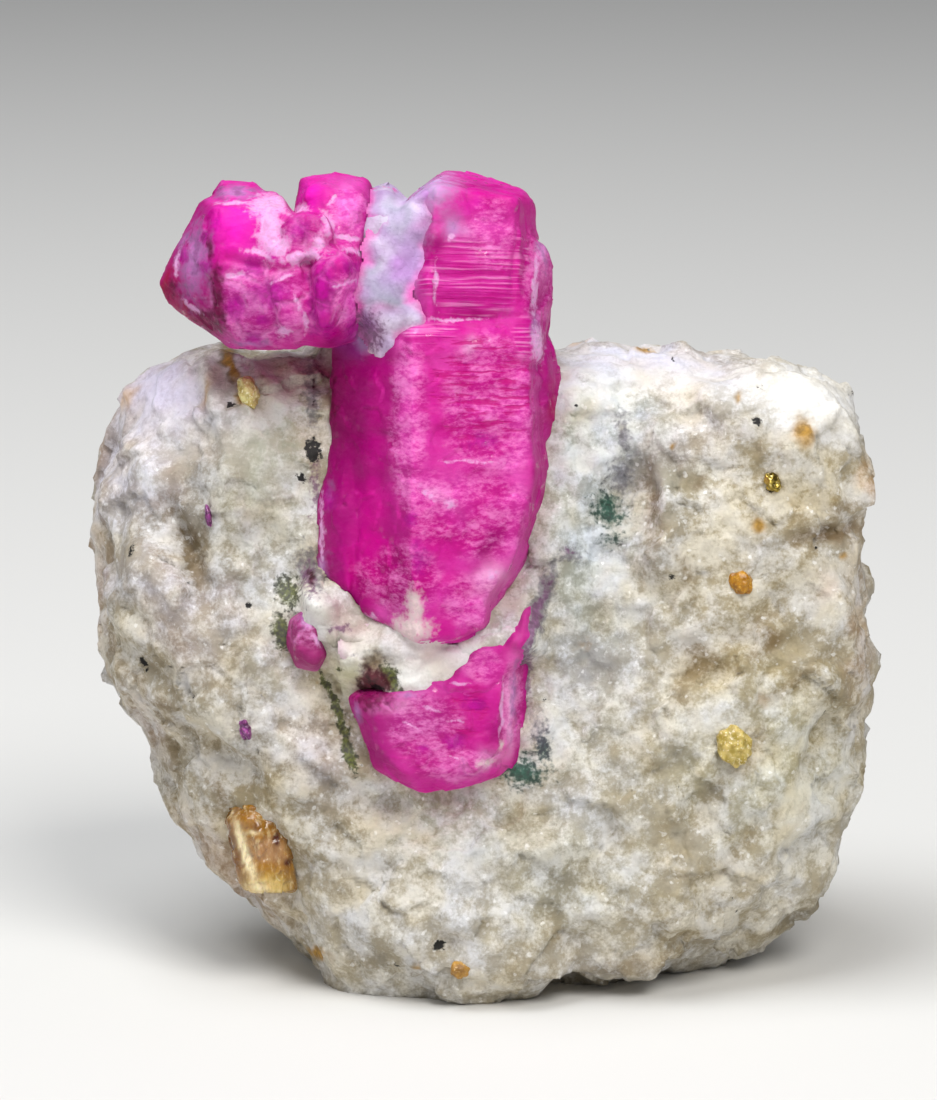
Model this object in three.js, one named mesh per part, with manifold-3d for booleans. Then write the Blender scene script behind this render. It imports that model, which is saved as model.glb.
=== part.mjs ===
// Pink ruby crystals standing in a block of white marble, with small grains of other minerals.
//
// Millimetres, +Z up. The block rests on its flat base, the plane z = 0, with the origin at the
// middle of the base, and its show face looks along -Y and leans back a little. Shapes are given
// in the show face's own frame: u to the right, v up the face, out towards the viewer.

import * as THREE from 'three';
import { ConvexGeometry } from 'three/addons/geometries/ConvexGeometry.js';
import { ImprovedNoise } from 'three/addons/math/ImprovedNoise.js';
import { mergeVertices } from 'three/addons/utils/BufferGeometryUtils.js';
import Module from 'manifold-3d';

const wasm = await Module();
wasm.setup();

// ---------------------------------------------------------------- driving dimensions

const LEAN = THREE.MathUtils.degToRad(12); // the show face leans back from the vertical
const FACE_ORIGIN = new THREE.Vector3(-0.75, 0.27, 25); // the show frame's origin over the base
const GAP = 0.3; // clear space between a crystal and the marble that holds it

const BLOCK_MIDDLE = [0.9, -7, 0]; // middle of the marble block, in the show frame
const BLOCK_FRONT = 8.6; // from the middle to the show face
const BLOCK_BACK = 15.2; // from the middle to the rough back
const BLOCK_ROUNDING = 11; // how tightly the block's walls turn into each other
const BLOCK_DETAIL = 14; // divisions of each edge of the starting icosahedron, less one
const BLOCK_STRETCH = [23, 19, 13]; // half sizes that spread the block's facets evenly

const RUBY_AXIS = { u: -1.49, out: 6.6 }; // axis of the main crystal, upright in the show face
const RUBY_TURN = THREE.MathUtils.degToRad(16); // its front face looks this far to the right
const HEAD_AXIS = { u: -0.75, out: 7.3 }; // axis of the head that grew on top of it
const LEDGE_STEP = 0.16; // depth of a growth ledge round a crystal

// Corners of the block's outline [u, v], anticlockwise from the top left.
const OUTLINE = [
  [-14.9, 12.3], [-17.6, 12], [-20.3, 11.2], [-22.8, 9.7], [-24.8, 7.3], [-25.4, 3.5], [-24, 0.7],
  [-23.1, -2.1], [-23, -5.4], [-21.7, -8.4], [-19.4, -11.8], [-18.6, -14.9], [-16.3, -18.2],
  [-13.5, -21.6], [-10.7, -23.8], [-8.8, -28.4], [-4.2, -29.8], [-0.5, -29.8], [3.1, -29.4],
  [8, -28.2], [14, -27.4], [17.8, -26], [21, -23.2], [22.9, -19], [24.3, -14.5], [25, -9.1],
  [24.3, -4.2], [23.9, -1.2], [24.3, 4.3], [23.5, 7.5], [22.3, 10.6], [17.9, 12.2], [14, 12.1],
  [8, 13.5], [4.8, 13.3], [-5, 12.7], [-10, 12.6],
];

// Broken walls of the block besides its front and back: the way each looks, and its distance from
// the block's middle.
const WALLS = [
  { way: [-0.72, 0.1, 0.69], distance: 19.2 }, // left side
  { way: [-0.5, -0.45, 0.74], distance: 16.4 }, // lower left corner
  { way: [0.35, -0.66, 0.66], distance: 19.5 }, // lower right corner
  { way: [0.08, -0.99, -0.09], distance: 20.1 }, // underside, clear of the ground at the right
  { way: [0.72, -0.35, 0.6], distance: 21.4 }, // right side
  { way: [0, 0.85, 0.53], distance: 19.2 }, // top edge
  { way: [0.75, 0.2, -0.63], distance: 22.5 }, // back right
  { way: [-0.7, 0.2, -0.68], distance: 22 }, // back left
  { way: [0.1, 0.72, -0.69], distance: 19.4 }, // back top
  { way: [0.34, -0.28, -0.9], distance: 14.6 }, // back, lower right
  { way: [-0.4, -0.12, -0.91], distance: 14.9 }, // back, left
  { way: [0.06, 0.4, -0.91], distance: 15.4 }, // back, upper
];

// Swells (rise > 0) and hollows (rise < 0) of the show face, each an oval turned in the face.
const FACE_FORMS = [
  { name: 'bulge at the top right', u: 20, v: 8.3, across: 4, along: 4, turn: 0, rise: 1.1 },
  { name: 'trough beside the crystal', u: 8.2, v: 4, across: 2.6, along: 7, turn: 0, rise: -1.3 },
  { name: 'ridge beyond the trough', u: 11.4, v: 0.5, across: 1.4, along: 6, turn: 0, rise: 0.7 },
  { name: 'left shoulder ridge', u: -14.2, v: 6.5, across: 1.7, along: 6, turn: 0, rise: 0.8 },
  { name: 'upper rib, lower left', u: -18, v: -1.5, across: 1.2, along: 3.6, turn: 42, rise: 0.8 },
  { name: 'middle rib, lower left', u: -17, v: -6.5, across: 1.2, along: 4, turn: 46, rise: 0.9 },
  { name: 'lower rib, lower left', u: -14.6, v: -11, across: 1.3, along: 4, turn: 50, rise: 0.8 },
  { name: 'seat of the amber crystal', u: -11, v: -16.8, across: 2, along: 3, turn: 0, rise: -1 },
  { name: 'step at the foot', u: -11, v: -21.5, across: 1.2, along: 3.6, turn: -38, rise: -0.7 },
  { name: 'hollow under the crystals', u: -1, v: -15.4, across: 7, along: 1.4, turn: 0, rise: -0.8 },
  { name: 'swell at the foot', u: -1.5, v: -21.5, across: 4.5, along: 3, turn: 0, rise: 0.7 },
  { name: 'slanting groove, right', u: 13.2, v: -15, across: 1, along: 4, turn: -27, rise: -0.9 },
  { name: 'short groove, right', u: 15, v: -13.6, across: 0.8, along: 2, turn: -45, rise: -0.6 },
  { name: 'swell, lower right', u: 18, v: -13, across: 3, along: 4.4, turn: 20, rise: 0.7 },
  { name: 'swell, middle right', u: 17.5, v: 0.5, across: 3.4, along: 2.2, turn: 15, rise: 0.6 },
];
const ROUGH = [ // lumps all over the block, and sharper ribs between them
  { wave: 8.5, rise: 0.9, ribbed: false, shift: [0, 0, 7.3] },
  { wave: 5.2, rise: 0.75, ribbed: true, shift: [0, 0, 7.3] },
];

// Marble that stands on the block, [u, v, out] with half sizes: a spur behind the crystals' heads,
// the filling between the heads, and the band between the main crystal and the one below.
const SPUR = [
  { middle: [-2.4, 9, 0.6], half: [7.6, 7.6, 7.8], detail: 4 },
  { middle: [-4.4, 13.4, 3], half: [3.2, 4.2, 4.2], detail: 3 },
  { middle: [1.2, 12, 4.4], half: [3.3, 5, 4.2], detail: 3 },
];
const SPUR_BREAKS = [
  { point: [-2, 15.4, 0], way: [0.15, 0.75, -0.65] }, // its back, falling away from the crystals
  { point: [4.4, 12, 0], way: [0.85, 0.45, -0.25] }, // its right flank
];
const FILLING = [
  { middle: [-5, 14.2, 8.7], half: [2.5, 3.4, 3.4], detail: 4 },
  { middle: [-4.5, 18, 7.4], half: [2.5, 3, 3.5], detail: 4 },
  { middle: [-2.1, 19, 7.6], half: [1.8, 2.7, 3], detail: 3 },
  { middle: [-5.2, 20, 6.6], half: [1.5, 1.7, 2.6], detail: 2 },
];
const BAND = [
  { middle: [-8, -4.3, 5.8], half: [2.9, 3.7, 4.9], detail: 4 },
  { middle: [-4.4, -6, 5.6], half: [5, 3.3, 5.6], detail: 5 },
  { middle: [1, -5.1, 5.2], half: [4.3, 3, 5.3], detail: 4 },
];
const SPUR_ROUGH = { wave: 4.2, rise: 1.4, ribbed: false, shift: [3.1, -3.1, 7.3] };
const LUMP_ROUGH = { wave: 2.9, rise: 0.6, ribbed: false, shift: [3.1, -3.1, 7.3] };
const RIB_LIFT = 0.35; // height of a rib's crest, as a share of its rise

// Rings [height, radius] of the main crystal and its head, before their growth ledges.
const MAIN_RINGS = [
  [-6.5, 5.2], [-5, 6.1], [-3, 6.6], [0, 6.95], [3, 7.05], [6, 6.9], [9, 6.85], [12.4, 6.75],
  [13.1, 5.9],
];
const MAIN_LEDGES = [-1.6, 0.9, 3, 4.6, 6.1, 7.2, 8.4, 9.4, 10.4, 11.3, 12];
const HEAD_RINGS = [[11, 4.6], [13.5, 5], [17, 5.05], [20, 4.9], [22.6, 4.7]];
const HEAD_LEDGES = [13.6, 14.7, 15.5, 16.2, 17, 17.9, 18.8];

// Flat breaks and end faces of the main crystal and its head: a point of each and its way out.
const MAIN_BREAKS = [
  { point: [4.85, 5.9, 7], way: [0.96, -0.2, 0.2] }, // tapers to the lower right
  { point: [3.9, 0, 7], way: [0.84, -0.5, 0.22] },
  { point: [1.6, -4, 8.5], way: [0.58, -0.78, 0.2] },
  { point: [-8.5, -2, 9], way: [-0.58, -0.78, 0.2] }, // lower left corner
  { point: [0, -5.1, 12], way: [0.05, -0.99, 0.1] }, // foot
  { point: [-8.3, 5, 8.5], way: [-0.98, 0.06, 0.18] }, // left edge
];
const HEAD_BREAKS = [
  { point: [-3.8, 16, 7], way: [-0.99, 0.05, -0.1] }, // left flank, where the marble clings
  { point: [-0.6, 21.5, 9], way: [0.2, 0.96, 0.2] }, // end face, falling to the right
  { point: [-2.2, 21.4, 9], way: [-0.58, 0.8, 0.1] }, // its left corner
  { point: [3.1, 20.5, 9], way: [0.76, 0.6, 0.22] }, // its right corner
  { point: [0.8, 21.2, 11.2], way: [0.15, 0.6, 0.79] }, // its front edge
];

// Crystals grown on to the main one, as the corners [u, v, out] of blocky convex forms.
const OUTGROWTHS = {
  'outer crystal of the left cluster': [
    [-18.3, 15.7, 8.5], [-17.8, 14.5, 8.2], [-15.7, 20.5, 8.8], [-14.4, 21.1, 8], [-11.2, 21, 9.2],
    [-14.7, 19.7, 12.2], [-14.4, 16.5, 13], [-13.9, 12.9, 12.4], [-15.6, 13, 8.9],
    [-14, 11.9, 9.5], [-13, 11.7, 11.4], [-10.2, 19.4, 12.7], [-9.6, 17, 13.5], [-9.4, 13.2, 13.4],
    [-9.9, 11.7, 11.4], [-14, 17, 4.5], [-9, 17.5, 4], [-9, 13, 4.5],
  ],
  'small lump on top of it': [
    [-15.2, 20.6, 8.6], [-14.5, 21.8, 8], [-12.7, 21.7, 8.2], [-11.9, 20.9, 9], [-14.2, 20.6, 10.4],
    [-12.4, 20.5, 10.6], [-13.6, 20.6, 6.4],
  ],
  'lower right lobe': [
    [-9.8, 16.9, 12], [-8, 17.7, 12.5], [-6.6, 17.6, 11.6], [-5.7, 16.3, 10.6], [-5.6, 14, 10.4],
    [-6.5, 12.4, 10.4], [-8.2, 11.8, 11], [-9.9, 12, 11.6], [-8.5, 16.7, 14], [-8.2, 13, 13.9],
    [-7.1, 16.4, 13.7], [-9.4, 14.5, 13.6], [-9.5, 16.5, 5], [-6, 16.5, 4.5], [-6.2, 13, 4.5],
    [-9, 12.8, 5],
  ],
  'block between the heads': [
    [-10.1, 19.8, 8.8], [-9.9, 21.9, 8.2], [-7.8, 22.2, 8], [-5.9, 21.9, 7.6], [-5.4, 20.6, 7.5],
    [-9.3, 20.6, 10.4], [-8.2, 20.9, 11], [-6.4, 20.8, 10.6], [-5.8, 19.8, 10.2], [-8.6, 17.2, 12.2],
    [-6.5, 17.2, 11.6], [-8.4, 12.4, 9], [-6.2, 12.4, 9], [-9.5, 20.8, 4.6], [-6.2, 20.8, 4.2],
    [-8.4, 12.4, 4], [-6.2, 12.4, 4],
  ],
  'chip on the head': [
    [-3.9, 14.3, 9], [-4, 14.9, 11.2], [-2.7, 16.6, 11.6], [-1.7, 16.4, 11.4], [-1.7, 13.2, 12.2],
    [-2.2, 13.2, 12.6], [-3.6, 13.5, 11.4], [-2.1, 15.7, 12.7], [-1.6, 14, 8], [-2.6, 16.8, 8.6],
  ],
  'upper ridge beside the head': [
    [2.6, 18.2, 9.4], [3.7, 18.5, 8.2], [4.6, 17.9, 7.4], [5, 16.6, 7], [4.9, 15.2, 7],
    [4.2, 13.6, 8.4], [4.2, 11.6, 8.6], [3.2, 11.6, 10], [2.6, 15, 10.6], [3.7, 15.5, 10],
    [3.3, 18, 5], [4.6, 16, 4.4], [4.4, 11.6, 5], [1, 17, 6], [1, 11.6, 6],
  ],
  'lower ridge beside the head': [
    [2.2, 14.6, 10.8], [3.4, 14.8, 10.4], [4.2, 14, 9.4], [4.3, 11, 9.6], [3.7, 11, 11.2],
    [2.4, 11, 11.6], [2, 12, 8], [4, 12, 6],
  ],
  'bulge on the left edge': [
    [-8.2, 4.8, 8.2], [-8.8, 3, 8.4], [-8.9, 0.4, 8.6], [-8.7, -1.2, 8.8], [-7.8, -2.5, 9],
    [-7.1, 4.6, 10.2], [-6.8, -2.6, 10.6], [-7.6, 1, 10.3], [-7.4, 4, 4.6], [-7.6, -1.6, 4.6],
  ],
  'shoulder on the right edge': [
    [4.2, 12.2, 7.4], [5, 12.2, 6.4], [5.4, 10.6, 6], [5.5, 8.4, 6.2], [5.1, 6.7, 6.8],
    [4.4, 6.4, 8.2], [4.4, 11, 8.9], [3, 11.6, 4], [3, 7, 4],
  ],
};

// Corners of the crystals that stand by themselves in the marble.
const LOWER_RUBY = [
  [-6.7, -8.7, 9.4], [-6.3, -10.2, 9.6], [-5.5, -12.7, 9.2], [-4, -13.7, 9.2], [-2.5, -14.2, 9.4],
  [0, -13.8, 9.4], [1.9, -13.2, 9], [2.8, -12.4, 8.4], [3.2, -10.8, 8], [3.1, -8.2, 7.9],
  [3.1, -6.1, 7.8], [3.7, -3.6, 7.4], [-5.2, -8.8, 11], [-4.9, -11.7, 11], [-3.8, -12.9, 10.9],
  [0.4, -12.9, 10.9], [1.7, -11.6, 10.6], [1.9, -8, 10.6], [1.9, -6.2, 9.8], [-6, -9, 6],
  [-5, -12.5, 4.6], [0, -13, 4.6], [3, -5.6, 5],
];
const SIDE_RUBY = [
  [-10.5, -4.1, 8.6], [-10.6, -5.6, 8.4], [-10.1, -6.9, 8.4], [-8.9, -7.1, 8.8], [-8.3, -6, 9.2],
  [-8.6, -4, 9.4], [-9.6, -3.5, 9.2], [-9.9, -4.4, 10.1], [-9.9, -5.8, 10.1], [-9, -6.4, 10],
  [-8.9, -4.6, 10.1], [-9.5, -5.2, 6.2],
];

// The small round crystal between the lobes of the left cluster, pointing out of the face.
const BUTTON = { middle: [-9.3, 18.2], back: 9.5, front: 13.3, backRadius: 1.8, frontRadius: 1.3 };

// The stubby amber-coloured crystal at the lower left: six sides, its top leaning to the left.
const AMBER = { middle: [-12.3, -17.7], radius: 1.95, length: 5, lean: 11, proud: 1.2 };

// Finishes of the minerals.
const MARBLE = { color: 0xd9d5cf, roughness: 0.8 };
const RUBY = { color: 0xd0248c, roughness: 0.35 };
const HONEY = { color: 0xc08a2e, roughness: 0.25 };
const ORANGE = { color: 0xc9831c, roughness: 0.3 };
const OCHRE = { color: 0xc08a3c, roughness: 0.5 };
const YELLOW = { color: 0xd9cf9a, roughness: 0.4 };
const PURPLE = { color: 0x812c80, roughness: 0.4 };
const BRASSY = { color: 0x9a8638, roughness: 0.35, metalness: 1 };

// Small grains held in the show face: middle, half sizes [u, v, out] and turn in the face.
const GRAINS = [
  { name: 'orange_grain', middle: [16, -1.9], half: [0.72, 0.68, 0.6], turn: 20, finish: ORANGE },
  { name: 'oval_grain', middle: [-0.5, -24.7], half: [0.62, 0.44, 0.55], turn: 15, finish: OCHRE },
  { name: 'yellow_grain', middle: [15.6, -11.5], half: [1.15, 1.2, 0.9], turn: 0, finish: YELLOW },
  { name: 'straw_grain', middle: [-13, 9.3], half: [0.62, 1, 0.7], turn: 32, finish: YELLOW },
  { name: 'purple_grain_upper', middle: [-15.3, 2], half: [0.4, 0.62, 0.5], turn: 20, finish: PURPLE },
  { name: 'purple_grain_lower', middle: [-13.1, -10.6], half: [0.42, 0.66, 0.5], turn: 15, finish: PURPLE },
  { name: 'pyrite_grain', middle: [17.8, 4], half: [0.42, 0.66, 0.45], turn: -30, finish: BRASSY },
];

// ---------------------------------------------------------------- geometry helpers

/** A point of the show face's frame as a vector: u to the right, v up the face, out of it. */
function at([u, v, out]) {
  return new THREE.Vector3(u, -out, v);
}

/** A geometry with its shared corners joined, as a closed solid that can be joined and cut. */
function solid(geometry) {
  const bare = new THREE.BufferGeometry();
  bare.setAttribute('position', geometry.getAttribute('position'));
  bare.setIndex(geometry.getIndex());
  const welded = mergeVertices(bare, 1e-5);
  return new wasm.Manifold(new wasm.Mesh({
    numProp: 3,
    vertProperties: new Float32Array(welded.getAttribute('position').array),
    triVerts: new Uint32Array(welded.getIndex().array),
  }));
}

/** One solid from many. */
function joined(solids) {
  return solids.reduce((whole, piece) => whole.add(piece));
}

/** The largest of a solid's separate bodies, without the crumbs that a cut left loose. */
function largest(body) {
  return body.decompose().reduce((best, one) => (one.volume() > best.volume() ? one : best));
}

/** The solid without the half space beyond a plane: a point of it and the way it looks. */
function cutFlat(body, { point, way }, grow = 0) {
  const size = 120;
  const normal = at(way).normalize();
  const saw = new THREE.BoxGeometry(size, size, size);
  saw.translate(0, 0, size / 2);
  saw.applyQuaternion(new THREE.Quaternion().setFromUnitVectors(new THREE.Vector3(0, 0, 1), normal));
  const place = at(point).addScaledVector(normal, grow);
  saw.translate(place.x, place.y, place.z);
  return body.subtract(solid(saw));
}

/** The convex form over some corners, made larger all round by grow. */
function blocky(corners, grow = 0) {
  const points = corners.map(at);
  if (grow === 0) return solid(new ConvexGeometry(points));
  const ways = new THREE.IcosahedronGeometry(grow, 0).getAttribute('position');
  const swollen = points.flatMap((point) => Array.from({ length: ways.count }, (_, i) => (
    new THREE.Vector3().fromBufferAttribute(ways, i).add(point)
  )));
  return solid(new ConvexGeometry(swollen));
}

/** The value at x of a line of straight stretches through [x, value] stops. */
function along(stops, x) {
  const next = Math.max(1, stops.findIndex(([stop]) => stop >= x));
  const [x0, value0] = stops[next - 1];
  const [x1, value1] = stops[next];
  return THREE.MathUtils.mapLinear(x, x0, x1, value0, value1);
}

/** Rings [height, radius] with a small step in or out at each growth ledge. */
function ledged(rings, ledges) {
  const steps = ledges.flatMap((height, i) => {
    const side = i % 2 === 0 ? 1 : -1;
    const radius = along(rings, height);
    const half = LEDGE_STEP / 2;
    return [[height - half, radius + side * half], [height + half, radius - side * half]];
  });
  return [...rings, ...steps].sort(([a], [b]) => a - b);
}

/** A six-sided crystal on an upright axis [u, out], from its rings. */
function sixSided(rings, axis, grow = 0) {
  const radiusGrow = grow / Math.cos(Math.PI / 6);
  const profile = rings.map(([height, radius]) => new THREE.Vector2(radius + radiusGrow, height));
  profile[0].y -= grow;
  profile[profile.length - 1].y += grow;
  profile.unshift(new THREE.Vector2(0, profile[0].y));
  profile.push(new THREE.Vector2(0, profile[profile.length - 1].y));
  const crystal = new THREE.LatheGeometry(profile, 6, RUBY_TURN - Math.PI / 6);
  crystal.rotateX(Math.PI / 2);
  crystal.translate(axis.u, -axis.out, 0);
  return solid(crystal);
}

const noise = new ImprovedNoise();

/** Height of one layer of roughness at a point, as smooth lumps or as ribs with sharp crests. */
function lumps(point, { wave, rise, ribbed, shift }) {
  const wavy = noise.noise(
    point.x / wave + shift[0],
    point.y / wave + shift[1],
    point.z / wave + shift[2],
  );
  return rise * (ribbed ? RIB_LIFT - 2 * Math.abs(wavy) : wavy);
}

// ---------------------------------------------------------------- the marble

/** Distance from the block's middle to its outline along an angle in the face. */
function outlineReach() {
  const [middleU, middleV] = BLOCK_MIDDLE;
  const corners = OUTLINE.map(([u, v]) => new THREE.Vector3(u - middleU, v - middleV, 0));
  const curve = new THREE.CatmullRomCurve3(corners, true, 'centripetal');
  const stops = curve.getPoints(OUTLINE.length * 8)
    .map(({ x, y }) => [Math.atan2(y, x), Math.hypot(x, y)])
    .sort(([a], [b]) => a - b);
  const [first, last] = [stops[0], stops[stops.length - 1]];
  const turn = 2 * Math.PI;
  const closed = [[last[0] - turn, last[1]], ...stops, [first[0] + turn, first[1]]];
  return (angle) => along(closed, angle);
}

/** How far the block reaches from its middle along a unit way, its walls turning into each other. */
function blockReach(way, reachAt) {
  const inFace = Math.hypot(way.x, way.z);
  const parts = [
    inFace / reachAt(Math.atan2(way.z, way.x)),
    Math.max(0, -way.y) / BLOCK_FRONT,
    Math.max(0, way.y) / BLOCK_BACK,
    ...WALLS.map((wall) => Math.max(0, way.dot(at(wall.way).normalize())) / wall.distance),
  ];
  const sum = parts.reduce((total, part) => total + part ** BLOCK_ROUNDING, 0);
  return sum ** (-1 / BLOCK_ROUNDING);
}

/** How much the show face rises or sinks at a point, from its named forms. */
function faceRise(point) {
  return FACE_FORMS.reduce((sum, form) => {
    const turn = THREE.MathUtils.degToRad(form.turn);
    const du = point.x - form.u;
    const dv = point.z - form.v;
    const across = (du * Math.cos(turn) + dv * Math.sin(turn)) / form.across;
    const up = (dv * Math.cos(turn) - du * Math.sin(turn)) / form.along;
    return sum + form.rise * Math.exp(-(across ** 2) - up ** 2);
  }, 0);
}

/** The rough block itself, before anything is set in it. */
function block() {
  const reachAt = outlineReach();
  const middle = at(BLOCK_MIDDLE);
  const stretch = new THREE.Vector3(BLOCK_STRETCH[0], BLOCK_STRETCH[2], BLOCK_STRETCH[1]);
  const shape = new THREE.IcosahedronGeometry(1, BLOCK_DETAIL);
  const corners = shape.getAttribute('position');
  const way = new THREE.Vector3();
  const point = new THREE.Vector3();
  for (let i = 0; i < corners.count; i += 1) {
    way.fromBufferAttribute(corners, i).multiply(stretch).normalize();
    point.copy(middle).addScaledVector(way, blockReach(way, reachAt));
    const rough = ROUGH.reduce((sum, layer) => sum + lumps(point, layer), 0);
    const facing = THREE.MathUtils.smoothstep(-way.y, 0, 0.3);
    point.addScaledVector(way, rough);
    point.y -= facing * faceRise(point);
    corners.setXYZ(i, point.x, point.y, point.z);
  }
  return solid(shape);
}

/** A rough rounded lump of marble. */
function lump({ middle, half, detail }, rough = LUMP_ROUGH) {
  const shape = new THREE.IcosahedronGeometry(1, detail);
  const corners = shape.getAttribute('position');
  const size = new THREE.Vector3(half[0], half[2], half[1]);
  const way = new THREE.Vector3();
  const point = new THREE.Vector3();
  for (let i = 0; i < corners.count; i += 1) {
    way.fromBufferAttribute(corners, i);
    point.copy(way).multiply(size).add(at(middle));
    point.addScaledVector(way, lumps(point, rough));
    corners.setXYZ(i, point.x, point.y, point.z);
  }
  return solid(shape);
}

// ---------------------------------------------------------------- the crystals

/** Corners of a level or upright ring: its middle, radius and two axes in the show frame. */
function ring(middle, radius, sides, [across, upward], start = 0) {
  return Array.from({ length: sides }, (_, i) => {
    const angle = start + (2 * Math.PI * i) / sides;
    return middle.map((value, k) => (
      value + radius * (Math.cos(angle) * across[k] + Math.sin(angle) * upward[k])
    ));
  });
}

/** The main crystal, its head and everything grown together with them, as one solid. */
function rubyCluster(grow = 0) {
  const main = MAIN_BREAKS.reduce(
    (body, face) => cutFlat(body, face, grow),
    sixSided(ledged(MAIN_RINGS, MAIN_LEDGES), RUBY_AXIS, grow),
  );
  const head = HEAD_BREAKS.reduce(
    (body, face) => cutFlat(body, face, grow),
    sixSided(ledged(HEAD_RINGS, HEAD_LEDGES), HEAD_AXIS, grow),
  );
  const inFace = [[1, 0, 0], [0, 1, 0]];
  const [u, v] = BUTTON.middle;
  const button = blocky([
    ...ring([u, v, BUTTON.back], BUTTON.backRadius, 7, inFace),
    ...ring([u, v, BUTTON.front], BUTTON.frontRadius, 7, inFace),
  ], grow);
  const outgrowths = Object.values(OUTGROWTHS).map((corners) => blocky(corners, grow));
  return joined([main, head, button, ...outgrowths]);
}

/** The amber-coloured crystal, standing proud of the marble at a given depth of the face. */
function amberCrystal(faceOut, grow = 0) {
  const [u, v] = AMBER.middle;
  const slope = Math.tan(THREE.MathUtils.degToRad(AMBER.lean));
  const out = faceOut + AMBER.proud - AMBER.radius;
  const level = [[1, 0, 0], [0, 0, 1]];
  const ends = [[-0.5, 0.9], [-0.36, 1], [0.34, 0.98], [0.5, 0.72]];
  const corners = ends.flatMap(([share, size]) => {
    const rise = share * AMBER.length;
    return ring([u - rise * slope, v + rise, out], AMBER.radius * size, 6, level, Math.PI / 6);
  });
  return blocky(corners, grow);
}

/** A small faceted grain of another mineral, half sunk in the marble. */
function grain({ middle, half, turn }, faceOut, grow = 0) {
  const shape = new THREE.DodecahedronGeometry(1, 0);
  shape.scale(half[0] + grow, half[2] + grow, half[1] + grow);
  shape.rotateY(THREE.MathUtils.degToRad(turn));
  const place = at([...middle, faceOut]);
  shape.translate(place.x, place.y, place.z);
  return solid(shape);
}

// ---------------------------------------------------------------- assembly

const FACE = new THREE.Matrix4().makeRotationX(-LEAN).setPosition(FACE_ORIGIN);

/** A solid of the show frame as a named mesh over the base. */
function node(name, body, finish) {
  const { vertProperties, triVerts } = body.getMesh();
  const geometry = new THREE.BufferGeometry();
  geometry.setAttribute('position', new THREE.BufferAttribute(vertProperties, 3));
  geometry.setIndex(new THREE.BufferAttribute(triVerts, 1));
  geometry.computeVertexNormals();
  const mesh = new THREE.Mesh(geometry, new THREE.MeshStandardMaterial(finish));
  mesh.name = name;
  return mesh;
}

/** How far out the surface of a solid lies at a place [u, v] of the show face. */
function surfaceOut(body, [u, v]) {
  const probe = new THREE.Raycaster(at([u, v, 60]), at([0, 0, -1]));
  const [hit] = probe.intersectObject(node('probe', body, MARBLE));
  return -hit.point.y;
}

/** The solid above the plane that the block rests on. */
function levelled(body) {
  const size = 200;
  const ground = new THREE.BoxGeometry(size, size, size);
  ground.translate(0, 0, -size / 2);
  return body.subtract(solid(ground));
}

const spur = SPUR_BREAKS.reduce(
  (body, face) => cutFlat(body, face),
  joined(SPUR.map((one) => lump(one, SPUR_ROUGH))),
);
const rock = joined([block(), spur, ...[...FILLING, ...BAND].map((one) => lump(one))]);
const amberOut = surfaceOut(rock, AMBER.middle);
const grainOuts = GRAINS.map(({ middle }) => surfaceOut(rock, middle));

const pockets = joined([
  rubyCluster(GAP),
  blocky(LOWER_RUBY, GAP),
  blocky(SIDE_RUBY, GAP),
  amberCrystal(amberOut, GAP),
  ...GRAINS.map((one, i) => grain(one, grainOuts[i], GAP)),
]);

const pieces = {
  ruby_cluster: [rubyCluster(), RUBY],
  lower_ruby: [blocky(LOWER_RUBY), RUBY],
  side_ruby: [blocky(SIDE_RUBY), RUBY],
  amber_crystal: [amberCrystal(amberOut), HONEY],
};
GRAINS.forEach((one, i) => {
  pieces[one.name] = [grain(one, grainOuts[i]), one.finish];
});

const group = new THREE.Group();
const matrix = levelled(largest(rock.subtract(pockets)).transform(FACE.elements));
group.add(node('matrix', matrix, MARBLE));
Object.entries(pieces).forEach(([name, [body, finish]]) => {
  group.add(node(name, body.transform(FACE.elements), finish));
});

export default group;
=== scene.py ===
"""Ruby crystals standing in a block of white marble: the looks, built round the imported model.

Shapes and marks are placed in the show face's own frame: u to the right, v up the face and out
towards the viewer. The face leans back from the vertical over the flat base. Places, sizes and
depths are in millimetres where nothing else is said.
"""

import itertools
import logging
import math
from collections.abc import Callable, Iterable, Iterator
from contextlib import contextmanager
from dataclasses import dataclass
from enum import Enum

import bmesh
import bpy
import numpy as np
from bpy.types import ColorRamp, Material, Mesh, NodeSocket, Object
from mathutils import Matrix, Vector
from mathutils.bvhtree import BVHTree


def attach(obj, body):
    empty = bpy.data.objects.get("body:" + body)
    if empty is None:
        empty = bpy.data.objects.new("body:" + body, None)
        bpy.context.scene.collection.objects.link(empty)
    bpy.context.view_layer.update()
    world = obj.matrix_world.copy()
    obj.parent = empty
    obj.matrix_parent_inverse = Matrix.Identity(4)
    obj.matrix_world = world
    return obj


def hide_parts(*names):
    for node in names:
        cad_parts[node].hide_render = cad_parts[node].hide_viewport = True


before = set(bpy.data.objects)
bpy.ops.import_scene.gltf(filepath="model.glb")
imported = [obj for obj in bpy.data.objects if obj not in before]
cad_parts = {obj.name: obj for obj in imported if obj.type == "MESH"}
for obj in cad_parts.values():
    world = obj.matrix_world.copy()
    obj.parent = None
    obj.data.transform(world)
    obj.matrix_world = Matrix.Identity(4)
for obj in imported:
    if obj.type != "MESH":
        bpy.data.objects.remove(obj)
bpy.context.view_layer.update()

Array = np.ndarray  # of points, directions or colours: one to a row
Colour = tuple[float, float, float]
LOG = logging.getLogger("ruby_on_marble")
BODY = "root"
MM = 0.001
WELD = 0.001 * MM
OUTSIDE = -1.0


# --- the show face


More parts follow.
